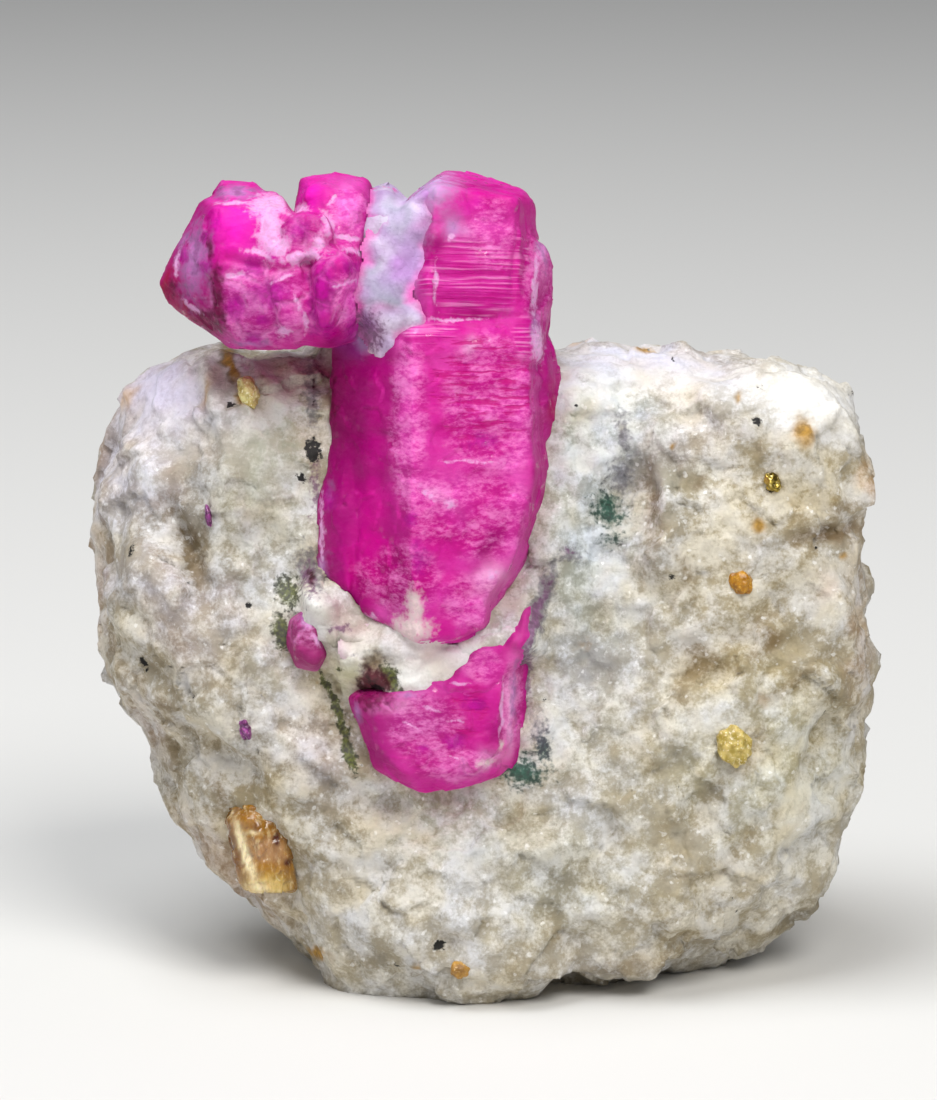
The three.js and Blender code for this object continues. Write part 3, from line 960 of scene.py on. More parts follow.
@dataclass(frozen=True)
class RubyFinish:
    """Translucent pink crystal, satin to the touch, with growth lines and milky mottling.

    Attributes:
        grain: size of the finest facets.
        block: size of the small crystals that have grown together.
        relief: depth of the bumps.
        drawn: how much the mottling is stretched along each axis.
        lean: how far it leans, in radians.
        rich: tint of the deep colour between the mottling.
        deep: tint of the darker small crystals.
        milk: colour of the mottling.
        seam: colour of the seams between them.
        line: painted shade in the valleys of the long growth lines.
        pale_line: painted highlight on the ridges between them.
        dash: deep colour of the short growth lines, with painted shade where they sink.
    """

    grain: float = 0.34
    block: float = 1.9
    relief: float = 0.10
    drawn: Colour = (0.7, 0.7, 1.35)
    lean: float = 0.35
    rich: Colour = (0.74, 0.25, 0.66)
    deep: Colour = (0.72, 0.3, 0.7)
    milk: str = "#f2a2dc"
    seam: str = "#ea98d4"
    line: str = "#b80a80"
    pale_line: str = "#f09cd2"
    dash: str = "#b80674"

    def lined(self, graph: Graph, face: Wire, colour: Wire) -> tuple[Wire, Wire]:
        """Lays the growth lines over a colour, with painted shade in their valleys and painted highlight
        on their ridges.

        Args:
            graph: the material's graph.
            face: coordinates of the show face.
            colour: what lies under the lines.

        Returns:
            The colour with the lines, and their height.
        """
        wobble = graph.noise(face, 1.6, 1.0) * 0.16
        bent = graph.vector("ADD", face, graph.node("CombineXYZ", None, {"Y": wobble}))
        lines = graph.noise(graph.vector("MULTIPLY", bent, (0.22, 6.6, 0.3)), 1.0, 1.0, 0.5)
        dashes = graph.noise(graph.vector("MULTIPLY", bent, (0.55, 3.0, 0.5)), 1.0, 3.0, 0.55)
        line_mask, dash_mask = graph.attribute("lines"), graph.attribute("dashes")
        # painted shade in the valleys of the lines and painted highlight on their ridges, where the
        # height below is low and high
        dark = line_mask * 0.75 - lines.above(0.44, 0.08) * line_mask * 0.75
        pale = lines.above(0.58, 0.08) * line_mask * 0.42
        # the dashes are sunk and painted deep: their own colour and painted shade in one
        short = dashes.above(0.545, 0.06) * dash_mask * 0.85
        colour = graph.mix(dark, colour, linear(self.line))
        colour = graph.mix(pale, colour, linear(self.pale_line))
        colour = graph.mix(short, colour, linear(self.dash))
        height = lines * line_mask * 1.2 - dashes.above(0.57, 0.08) * dash_mask * 0.3
        return colour, height

    def grown(self, graph: Graph, place: Wire, colour: Wire) -> tuple[Wire, Wire]:
        """Parts a colour into small crystals grown together, with milky seams.

        Args:
            graph: the material's graph.
            place: coordinates in millimetres.
            colour: what lies under the seams.

        Returns:
            The colour with the crystals, and their height.
        """
        mask = graph.attribute("grown")
        sockets = {"Vector": place, "Scale": 0.9, "Detail": 3.0}
        shift = graph.node("TexNoise", None, sockets, "Color")
        bent = graph.vector("ADD", place, graph.vector("MULTIPLY", shift, (1.3, 1.3, 1.3)))
        sockets = {"Vector": bent, "Scale": 1 / self.block}
        cells = graph.node("TexVoronoi", {"feature": "DISTANCE_TO_EDGE"}, sockets)
        _, chance = graph.grains(bent, self.block)
        darker = chance.above(0.55, 0.2) * mask * 0.6
        colour = graph.mix(darker, colour, graph.tinted(colour, self.deep))
        inside = cells.above(0.08, 0.08)
        seams = mask * 0.3 - inside * mask * 0.3
        return graph.mix(seams, colour, linear(self.seam)), inside * mask * 0.8

    def material(self) -> Material:
        """Makes the material.

        Returns:
            The material.
        """
        graph = Graph("ruby")
        place = graph.place()
        drawn = graph.place(self.drawn, self.lean)
        cloud = graph.noise(drawn, 1.3, 4.0, 0.62)
        fleck = graph.noise(drawn, 0.3, 3.0, 0.68)
        colour = graph.attribute("zone", "Color")
        rich = graph.tinted(colour, self.rich)
        pale = graph.mix(0.5, colour, linear(self.milk))
        mottling = graph.attribute("frost")
        mottled = cloud * 0.55 + fleck * 0.45
        between = mottled.above(0.47, 0.12) * -0.75 * mottling + mottling * 0.75
        colour = graph.mix(between, colour, rich)
        colour = graph.mix(mottled.above(0.54, 0.12) * mottling * 0.85, colour, pale)
        colour = graph.tinted(colour, graph.grey(0.90 + fleck * 0.2))
        colour, grown_height = self.grown(graph, place, colour)
        face = graph.attribute("face", "Vector")
        colour, line_height = self.lined(graph, face, colour)
        tilt, chance = graph.grains(place, self.grain)
        spark = chance.above(0.96, 0.01)
        height = tilt * 0.14 + fleck * 0.3 + line_height + grown_height
        graph.shade(
            Base_Color=stained(graph, colour, RubyMark),
            Roughness=0.42 - spark * 0.25 + mottling * 0.08,
            Normal=graph.bump(height, self.relief),
            Subsurface_Weight=0.3,
            Subsurface_Radius=(1.2, 0.3, 0.8),
            Subsurface_Scale=0.6 * MM,
            Specular_IOR_Level=0.1,
            Coat_Weight=spark * 0.5,
            Coat_Roughness=0.12,
        )
        return graph.material


@dataclass(frozen=True)
class HoneyFinish:
    """Glassy honey-brown crystal, its colours stored on the mesh.

    Attributes:
        grain: size of its facets.
        streak: size of its streaks, before they are drawn out.
        drawn: how much they are stretched along each axis.
        relief: depth of the bumps.
        pale: colour of the pale streaks.
        dark: colour of the dark streaks.
    """

    grain: float = 0.5
    streak: float = 0.45
    drawn: Colour = (1.6, 1.6, 0.6)
    relief: float = 0.1
    pale: str = "#f4e4b4"
    dark: str = "#6e440c"

    def material(self) -> Material:
        """Makes the material.

        Returns:
            The material.
        """
        graph = Graph("honey_crystal")
        streak = graph.noise(graph.place(self.drawn), self.streak, 3.0, 0.6)
        colour = graph.attribute("zone", "Color")
        colour = graph.mix(streak.above(0.6, 0.08) * 0.3, colour, linear(self.pale))
        dark = 0.35 - streak.above(0.42, 0.08) * 0.35
        colour = graph.mix(dark, colour, linear(self.dark))
        tilt, chance = graph.grains(graph.place(), self.grain)
        graph.shade(
            Base_Color=colour,
            Roughness=0.2 + chance * 0.15,
            Normal=graph.bump(tilt * 0.3 + streak * 0.3, self.relief),
            Subsurface_Weight=0.35,
            Subsurface_Radius=(1.2, 0.7, 0.25),
            Subsurface_Scale=0.8 * MM,
            Coat_Weight=0.5,
            Coat_Roughness=0.06,
        )
        return graph.material


@dataclass(frozen=True)
class GrainFinish:
    """A small grain of one mineral.

    Attributes:
        name: the material's name.
        tone: its main colour.
        dark: the colour of its darker side.
        pale: the colour of its cracks and rim.
        rough: its roughness.
        metal: 1 for a metallic mineral.
        glow: how much light passes into it.
        grain: size of its facets.
        relief: depth of the bumps.
    """

    name: str
    tone: str
    dark: str
    pale: str
    rough: float = 0.25
    metal: float = 0.0
    glow: float = 0.4
    grain: float = 0.3
    relief: float = 0.08

    def material(self) -> Material:
        """Makes the material.

        Returns:
            The material.
        """
        graph = Graph(self.name)
        place = graph.place()
        cloud = graph.noise(place, 0.5, 3.0, 0.6)
        fleck = graph.noise(place, 0.16, 2.0, 0.6)
        colour = graph.mix(cloud.above(0.5, 0.14), linear(self.dark), linear(self.tone))
        colour = graph.mix(fleck.above(0.62, 0.05) * 0.7, colour, linear(self.pale))
        tilt, chance = graph.grains(place, self.grain)
        graph.shade(
            Base_Color=colour,
            Roughness=self.rough + chance * 0.12,
            Metallic=self.metal,
            Normal=graph.bump(tilt + fleck * 0.3, self.relief),
            Subsurface_Weight=self.glow,
            Subsurface_Radius=(1.0, 0.7, 0.4),
            Subsurface_Scale=0.5 * MM,
        )
        return graph.material


# --- the marble


@dataclass
class MarbleBlock:
    """The rough block of marble, broken along its grains and stained here and there.

    Attributes:
        held: nodes that the marble holds and closes round.
        forms: small hollows and swells of the show face.
        snow: places with more white frosting than elsewhere, or with less.
        calm: places where the stone is smooth and pale, without mottling, which also keep the painted
            highlight flat and bright.
        tones: soft patches of tone on the show face, some of them painted light and shade.
        marks: its crisp marks of other minerals.
        voxel: size of the mesh's faces away from the viewer.
        reach: how far from a crystal the marble is drawn in to it.
        overlap: how far into a crystal the marble's edge is drawn.
        ease: width over which it is drawn.
        base: height up to which the underside is made flat.
        fine_facing: the mesh is finer where it faces the viewer more than this.
        fine_depth: and where it lies further out than this.
        slant: how steeply the ribs run across the face.
        groove: tint of the painted shade in the grooves.
        warm_at: where the noise of the warm clouds is read.
        dust_at: the same for the black specks.
        rust_at: the same for the ochre ones.
    """

    held: tuple[str, ...]
    forms: list[Spot]
    snow: list[Spot]
    calm: list[Spot]
    tones: list[Wash]
    marks: dict[MarbleMark, list[Spot]]
    voxel: float = 0.44
    reach: float = 1.1
    overlap: float = 0.2
    ease: float = 0.55
    base: float = 0.3
    fine_facing: float = 0.12
    fine_depth: float = -8.5
    slant: float = 0.8
    groove: Colour = (0.74, 0.66, 0.52)
    warm_at: float = 60.0
    dust_at: float = 120.0
    rust_at: float = 210.0

    def close_round(self, surface: Surface) -> Array:
        """Draws the marble in to the crystals that it holds.

        Args:
            surface: the marble's points, which are moved.

        Returns:
            How near each point is to a crystal, from 0 to 1.
        """
        near = np.zeros(surface.count)
        for node in self.held:
            mesh = merged(node)
            held, tree = Surface(mesh), tree_of(mesh)
            low, high = held.where.min(axis=0) - self.reach, held.where.max(axis=0) + self.reach
            inside = np.all((surface.where > low) & (surface.where < high), axis=1)
            for i in np.flatnonzero(inside):
                point = Vector(surface.where[i])
                hit, _, _, distance = tree.find_nearest(point, self.reach)
                if hit is None:
                    continue
                share = float(smoothstep(np.array(self.reach - distance), 0.0, self.ease))
                goal = hit + (hit - point).normalized() * self.overlap
                surface.where[i] = point.lerp(goal, share)
                near[i] = max(near[i], share)
        return near

    def roughness(self, surface: Surface) -> tuple[Array, Array]:
        """How far each point rises or sinks.

        Args:
            surface: the marble's points.

        Returns:
            The height of the lumps alone, and the whole height.
        """
        where = surface.where
        front = surface.front(0.1, 0.5)
        u, v, out = where.T
        slanted = np.stack([u + self.slant * v, v - self.slant * u, out], axis=1)
        lumps = 0.42 * NOISE.fractal(where, 4.6, 3) + 0.30 * NOISE.ribs(slanted, (3.4, 9.0, 4.5))
        lumps = lumps + 1.4 * front * glow_of(self.forms, where)
        blocks = 0.18 * NOISE.facets(NOISE.warped(where, 3.0, 0.6), 2.6)
        grains = 0.12 * NOISE.facets(NOISE.warped(where, 0.8, 0.2), 0.9)
        grains = grains + 0.05 * NOISE.smooth(where, 0.5)
        pits = -0.25 * smoothstep(NOISE.smooth(where, 1.8), 0.55, 0.85)
        return lumps, lumps + blocks + grains + pits

    def colours(self, surface: Surface, lumps: Array) -> Array:
        """The soft colours of the stone, with painted shade in its grooves and painted light on its
        crests.

        Args:
            surface: the stone's points.
            lumps: height of the lumps at each point.

        Returns:
            The colour of each point.
        """
        where = surface.where
        clouds = smoothstep(NOISE.fractal(where, 6.0, 3), -0.7, 0.7)
        warm = smoothstep(NOISE.fractal(where + self.warm_at, 8.0, 2), -0.6, 0.6)
        back = smoothstep(-surface.facing[:, 2], -0.1, 0.5)
        colours = blended(Tone.STONE.rgb, Tone.STONE_WHITE.rgb, clouds)
        colours = blended(colours, Tone.BEIGE.rgb, 0.55 * warm * (0.35 + 0.65 * back))
        front = surface.front(-0.15, 0.3)
        ragged = NOISE.warped(where, 1.4, 0.7)
        colours = washed(colours, self.tones, ragged, front)
        # painted shade: the stone is darkened in the grooves between its lumps
        grooves = smoothstep(-lumps, 0.12, 0.75) * (0.7 + 0.3 * warm)
        colours = blended(colours, colours * np.array(self.groove), 0.75 * grooves)
        # painted highlight: the tops of the lumps are lightened towards white
        crests = smoothstep(lumps, 0.1, 0.6)
        return blended(colours, Tone.STONE_WHITE.rgb, 0.3 * crests)

    def marked(self, surface: Surface) -> dict[str, Array]:
        """How deep points lie inside the crisp marks.

        Args:
            surface: the stone's points.

        Returns:
            Each mark's name with its depth at each point.
        """
        front = surface.front(-0.2, 0.2)
        ragged = NOISE.warped(surface.where, 0.9, 0.25)
        dust = NOISE.smooth(surface.where + self.dust_at, 1.3) - 0.86 - 0.06 * front
        rust = NOISE.smooth(surface.where + self.rust_at, 2.6) - 0.8
        fields = {}
        for mark, spots in self.marks.items():
            depth = shape_of(spots, ragged)
            fields[mark.name.lower()] = depth * front - (1 - front)
        fields["black"] = np.maximum(fields["black"], dust * 3)
        fields["ochre"] = np.maximum(fields["ochre"], rust * 2 - front * 0.3)
        return fields

    def build(self, material: Material) -> Object:
        """Makes the block, sculpted, marked and dressed.

        Args:
            material: the marble's material.

        Returns:
            The finished block.
        """
        mesh = remeshed("matrix", self.voxel)
        refine(mesh, self.fine)
        surface = Surface(mesh)
        near = self.close_round(surface)
        surface.write()
        smoothed(mesh, 3, near > 0.02)
        surface = Surface(mesh)
        height = FACE.to_world(surface.where)[:, 2] / MM
        lumps, rise = self.roughness(surface)
        surface.push(rise * (1 - 0.5 * near) * (1 - 0.45 * self.calmness(surface)))
        self.level(surface, height < self.base)
        surface.write()
        self.dress(surface, lumps)
        piece = linked("marble_block", mesh)
        finished(piece, "matrix", material)
        return piece

    def fine(self, middles: Array, facing: Array) -> Array:
        """Which faces of the mesh are made finer, from their middles and normals."""
        return (facing[:, 2] > self.fine_facing) & (middles[:, 2] > self.fine_depth)

    def calmness(self, surface: Surface) -> Array:
        """How smooth and pale the stone is at each point, from 0 to 1."""
        return np.clip(glow_of(self.calm, surface.where), 0, 1)

    def dress(self, surface: Surface, lumps: Array | None = None) -> None:
        """Stores all that the marble's material reads.

        Args:
            surface: the points to dress.
            lumps: height of the lumps at each point, from which painted shade darkens the grooves.
        """
        if lumps is None:
            lumps = np.zeros(surface.count)
        ragged = NOISE.warped(surface.where, 1.6, 0.6)
        surface.paint("zone", self.colours(surface, lumps))
        surface.mark("calm", np.maximum(self.calmness(surface), surface.faded))
        surface.mark("snow", glow_of(self.snow, ragged))
        for name, values in self.marked(surface).items():
            surface.mark(name, values)

    @staticmethod
    def level(surface: Surface, under: Array) -> None:
        """Makes the underside flat, and keeps every point above the ground.

        Args:
            surface: the points, which are moved.
            under: true for the points of the underside.
        """
        world = FACE.to_world(surface.where)
        world[:, 2] = np.where(under, 0.0, np.maximum(world[:, 2], 0.0))
        surface.where = FACE.from_world(world)


def marble_block() -> MarbleBlock:
    """The block, with all that shows on its face.

    Returns:
        The block.
    """
    held = tuple(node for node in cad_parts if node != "matrix")
    forms = ovals(
        (-14.9, 8.4, 0.5, 4, 0.45, 14), (-20, 5.6, 1.2, 1.5, 0.35, 20), (-21.2, 2.4, 1, 1.2, 0.45),
        (-18.9, 4.3, 0.8, 1.6, 0.45, 20), (-19.8, 1.1, 0.7, 0.8, 0.4), (-18.6, -2.2, 1.4, 2.3, 0.7, 30),
        (-14.4, -3.4, 1.2, 2.2, 0.6, 30), (-11.6, -8.4, 1.3, 2.4, 0.5, 34),
        (-17.4, 1.6, 0.6, 2.6, -0.6, 30), (-15.9, -1.4, 0.7, 2.4, -0.65, 26),
        (-20.6, -4.2, 0.8, 2.2, 0.45, 44), (-19, -7, 0.7, 2.2, -0.5, 44), (-15, -12, 0.9, 2.8, -0.5, 30),
        (-12.8, -12.6, 1.3, 1.7, -0.6), (-12, -19.6, 2, 0.8, -0.5, 20), (11.6, 2.6, 0.7, 3, 0.5, 6),
        (10, 4, 1.2, 2.2, -0.5), (21.4, 0.9, 2.6, 0.6, -0.6, 12), (16, -4.4, 2.6, 0.7, -0.35, 30),
        (19.6, -6.4, 2.2, 0.6, 0.35, 38), (13.4, -7.4, 1.6, 0.8, -0.35, 50),
        (20.6, -12, 0.7, 2.6, -0.4, -30), (17, -17, 0.8, 3, -0.45, -38), (12.6, -19, 1, 2.6, 0.4, -30),
        (7.4, -18, 0.9, 2.4, -0.35, -20), (3, -18.4, 1.6, 1.2, 0.35, 10), (-5, -19, 1.2, 1.8, -0.35, 30),
        (-1.4, -23.2, 1.4, 0.7, -0.4, 10), (-0.9, -5.9, 1.3, 0.7, 0.6), (-4.5, 18.2, 1.5, 4.2, 0.6),
        (3.2, -5.4, 0.4, 1.8, 0.3, -22),
    )
    snow = ovals(
        (10.2, 10.8, 5, 1.8, 1, -6), (7, 8, 2.2, 2.4), (8.8, -1.6, 1.8, 3, 0.9),
        (13.2, -5.6, 1.6, 4, 0.1, 10), (21.4, -3.2, 2, 2.6, 0.7), (5.2, -10.6, 2.2, 3, 0.7),
        (-4.2, -17, 4, 1.6, 0.6), (-17.8, 8.8, 2.6, 2.2, 0.5), (-19.4, -0.6, 1.4, 2.4, -0.5, 20),
        (-12.8, 1.4, 2.4, 2.6, 0.3), (-15.2, -9.6, 1.2, 4.2, 0.7, 26), (-2, -6.2, 3, 1.4),
        (-10.6, -9.4, 1.2, 2, 0.5, 20), (-6, -20.6, 1.6, 2.2, 0.6), (18.6, -0.2, 2.4, 0.9, 0.5, 10),
        (11.6, 5, 1.6, 2, -0.9), (19, 3.4, 3.4, 1.8, 0.4), (18.6, -6, 4.6, 1.6, -0.8, 20),
        (8.4, -6.6, 1.4, 1.4, -0.6), (-16.6, 2, 1, 2.4, -0.7, 20), (-17.8, -8.2, 0.8, 2.6, -0.8, 38),
        (-12.8, 7.6, 2.2, 3, 0.1), (14, -12.4, 2.4, 3.4, 0.1, -30), (21.8, 0.9, 2.2, 0.7, -1, 10),
        (5, -20.4, 3.4, 1.4, -0.5), (-13.6, -14.6, 1.2, 2, -0.6, 20), (12.6, -18.6, 4, 2, -0.3, 20),
        (19.4, -16.8, 2.2, 2.6, 0.7), (20.6, -13.4, 1.8, 1.8, 0.5), (-15.2, -3, 1.6, 2, -0.6),
        (13.4, -17, 2, 1.6, -0.6), (8.4, -12.6, 1.8, 1.6, -0.7), (11.4, -15, 1.6, 1.6, -0.6),
        (-14.8, -7.8, 1.2, 1.4, -0.7), (-11.2, 9.6, 1.8, 1.4, 0.8), (-17.6, 5.6, 1.2, 1.2, -0.7),
    )
    # at the upper right corner, along the top crest and on the upper left shoulder, calm keeps painted
    # highlight flat and bright
    calm = ovals(
        (-4.2, 17.4, 3, 6.5, 1.4), (20.4, 8.8, 3.4, 2, 0.9, -10), (10.5, 10.6, 7, 1, 0.6, -6),
        (-18.6, 9.6, 4, 2.8, 0.7, -30), (-3.4, -7.4, 1.6, 0.9, 0.8), (-9, -3.3, 0.9, 1.1, 0.8),
        (-2.6, -5.4, 4, 1.6, 0.7), (-7.4, -4.4, 1.6, 1.2, 0.6), (-7.2, -7.3, 1.2, 1.3, 0.6),
        (-12.4, 6.4, 2.2, 4, 0.5),
    )
    tones = washes(
        (Tone.STONE_GREY, (-18, 0, 5, 9, 0.6, 20), (-15, -14, 4, 6, 0.3, 30), (17, -5, 4, 3.6, 0.5)),
        (Tone.GREEN_GREY, (-12.4, 6.4, 2.4, 4.6, 0.7)),
        (Tone.BEIGE, (16, -6, 7, 7, 0.7), (-18.5, -4, 3.6, 6, 0.5, 30), (18, 3, 5, 4, 0.6),
            (-13, -17, 4, 5, 0.6, 40), (-6.5, -9.5, 1.6, 3, 0.4, 20), (21, 4, 3, 2, 0.6),
            (14, -20, 6, 4, 0.5, 20), (-11.2, 11, 2.4, 1, 0.5)),
        (Tone.GREEN_GREY, (17, -12, 5, 3, 0.5), (12.6, 4.6, 2, 1.6, 0.5), (-13.2, 8.4, 1.8, 1.6, 0.4),
            (6, -20, 5, 2.4, 0.35, 10)),
        # lilac white: painted top light on the upper left shoulder and along the top crest, the stone's
        # own pale tone elsewhere
        (Tone.LILAC_WHITE, (-18.3, 9.6, 4.2, 3.6, 1, -30), (10, 11.4, 6, 1.6, 0.9, -6),
            (12, 6.6, 2.4, 2, 0.6), (-21.4, 4, 1.6, 2.4, 0.7), (7, -7, 2, 2.4, 0.6),
            (-21, 2.4, 1, 1.1, 0.7), (-16.5, -5.5, 1.4, 2.4, 0.5, 40), (-9, -11.5, 1.8, 3, 0.5, 30),
            (-18.8, 4.6, 1.6, 2.6, 0.7, 20), (-18.4, -2.4, 1.5, 2.4, 0.85, 30),
            (-14.4, -3.6, 1.2, 2.2, 0.5, 30), (9, 6, 2, 2.4, 0.5), (-21.8, -1.6, 1.2, 1.4, 0.6)),
        (Tone.BLUE_WHITE, (7.3, -1, 3, 8.5, 0.95), (8.6, 8, 3.6, 3.4, 0.85), (-10.6, -1, 2, 3.6, 0.5),
            (2, -17, 5, 1.6, 0.4)),
        # stone white: at (19.4, -16.6) and (-11, 9.6) it is painted light that lifts the shade at the
        # lower right and under the cluster
        (Tone.STONE_WHITE, (-9.6, -1.5, 2.4, 3, 0.7), (-1.5, -5.6, 6.6, 2.4, 0.9),
            (11.6, -4.5, 2.4, 3.4, 0.5), (-2, -21, 5, 2.6, 0.6), (17.6, 0.2, 2, 1, 0.6, 20),
            (-11.4, -7, 2, 2.2, 0.6, 30), (19.4, -16.6, 2.4, 2.6, 0.6), (15.6, -12.2, 2.2, 1.6, 0.5),
            (-11, 9.6, 2.6, 1.6, 0.6), (-7.4, -7.4, 0.9, 1, 0.3), (16, -14, 5, 4, 0.5)),
        (Tone.SEAM, (-4, 17.4, 3.2, 6, 2.5)),
        (Tone.LILAC_WHITE, (-3.8, 20.3, 1.3, 0.9, 1, 20), (-5.2, 17.9, 0.7, 0.9, 0.7),
            (-4.4, 12.7, 0.9, 0.6, 0.8), (-5.3, 16.3, 0.6, 0.7, 0.7), (-3.4, 13.4, 0.9, 0.5, 0.7)),
        (Tone.SEAM_GREY, (-4.9, 14.5, 0.9, 1.2, 0.9), (-4, 19.4, 0.5, 1.4, 0.5, 20),
            (-5.6, 16, 0.5, 0.7, 0.5)),
        (Tone.SEAM_LILAC, (-4.1, 17, 0.7, 0.7, 0.9), (-2, 21, 1.3, 1.2, 1.2),
            (-3.4, 15.9, 0.6, 0.9, 0.7)),
        (Tone.VIOLET, (-6.2, 12.9, 0.8, 0.7, 0.7)),
        (Tone.MAUVE, (-2.6, 19.4, 0.7, 1, 0.4), (-5, 13.9, 0.6, 0.6, 0.4)),
        (Tone.PINK_LILAC, (-11.5, 19.8, 1.8, 1.4, 1.6), (-11.3, 17.8, 1.2, 1.8, 1.6),
            (-9.4, 17.2, 1.8, 1, 1.6), (-8.6, 19.2, 1.4, 1.4, 1.4), (-5.2, 12.6, 0.7, 1.4, 0.4)),
        (Tone.GREEN_CREAM, (-9.6, 10.8, 2.6, 1.2, 0.6), (-7.3, -7.4, 1, 1.3, 0.8),
            (-7, -9.6, 0.8, 1.2, 0.3, 20), (17.4, -13, 5, 4.4, 0.5)),
        (Tone.CHALK, (-6.9, -5.8, 1.3, 0.6, 0.3), (15.4, -10.6, 1.8, 1, 0.6), (14.2, -9.4, 2, 1.2, 0.4)),
        (Tone.STRAW, (15.8, -11.9, 1.2, 1, 0.5)),
        (Tone.PINK_WHITE, (-7.5, -3.5, 0.9, 0.8, 0.7), (-3.1, -3.8, 1.2, 1.4, 0.8),
            (-1.6, -5.6, 2.4, 0.8, 0.6), (-1.5, -6.5, 1.4, 0.8, 0.6), (-6.6, -4.6, 1.4, 0.6, 0.6),
            (2.4, -3.6, 0.8, 2, 0.5, -34)),
        (Tone.BEIGE, (-5.4, -6.6, 0.7, 0.7, 0.8)),
        # chalk white: the stone's own at the band; painted highlight at the upper right corner, along the
        # top crest and on the lumps at the left
        (Tone.CHALK, (-9, -3.3, 0.9, 1.1, 0.7), (-3.4, -7.4, 1.6, 0.9, 0.9), (-0.5, -6.2, 0.8, 0.4, 0.6),
            (20.2, 8.8, 3.8, 2.4, 1, -10), (10.5, 9.6, 4.6, 1.2, 0.6, -4), (22.4, -3.4, 1, 1.8, 0.5),
            (-20.9, 2.4, 0.9, 1, 0.6), (-18.9, 4.4, 0.7, 1.4, 0.6, 20), (-17.3, 6.2, 1, 1.6, 0.5, 30),
            (-11, -2, 1, 1.2, 0.4), (-18.8, -1.8, 0.9, 1.6, 0.2, 30)),
        # brown: painted shade in the hollows and grooves and along the bottom edge, over the stone's own
        # brown
        (Tone.BROWN, (13.2, -6.1, 0.9, 1.1, 0.5), (21.6, 0.9, 2.8, 0.5, 0.75, 12),
            (10.8, 2.6, 0.35, 2.6, 0.7, 4), (12.4, -0.6, 0.5, 2, 0.5, 20), (13.4, 4.1, 0.5, 0.4, 0.5),
            (17.4, -5.4, 0.7, 0.6, 0.7), (22.1, 2.6, 1, 0.6, 0.5, 30), (15, -14, 0.7, 4, 0.35, -30),
            (18.4, -8.2, 2.6, 0.5, 0.4, 36), (16.6, -4.6, 2.4, 0.5, 0.35, 30),
            (12.2, -9, 0.5, 2, 0.4, -24), (-15.9, -1.6, 0.6, 1.9, 0.4, 26),
            (-17.2, 1.4, 0.4, 2.2, 0.6, 30), (-17, -4.8, 0.4, 1.6, 0.5, 40),
            (-18.6, -8.8, 0.5, 2.4, 0.6, 40), (-14.6, -14.4, 0.5, 1.6, 0.5, 20),
            (-6.2, -4.6, 2.6, 0.8, 0.35, -12), (-21.4, -6, 0.5, 1.6, 0.4, 30),
            (9.2, -24.6, 4, 0.7, 0.4, 8), (-15.4, 0.6, 0.35, 1.4, 0.4)),
        # tan: along the rims of the block it is painted shade warmed by bounce light
        (Tone.TAN, (-14.6, -19.2, 1.6, 4.4, 0.7, 44), (-22.9, -3, 0.9, 4, 0.7),
            (-22.6, 6.2, 1, 2.4, 0.6, -14), (23.4, -5, 0.9, 5, 0.5), (21, -2.2, 0.7, 0.9, 0.7),
            (8, -1.6, 0.5, 2, 0.25), (-19.4, -10.6, 1, 2.6, 0.5, 34)),
        (Tone.ORANGE, (-20.6, 9.2, 0.4, 1, 0.8, -40), (-15.4, 9.3, 0.35, 0.8, 0.9, -10),
            (23.9, 3.4, 0.5, 1.8, 0.8, 10), (6.6, 12.9, 0.7, 0.3, 0.8), (-23.3, 1, 0.5, 2, 0.5)),
    )
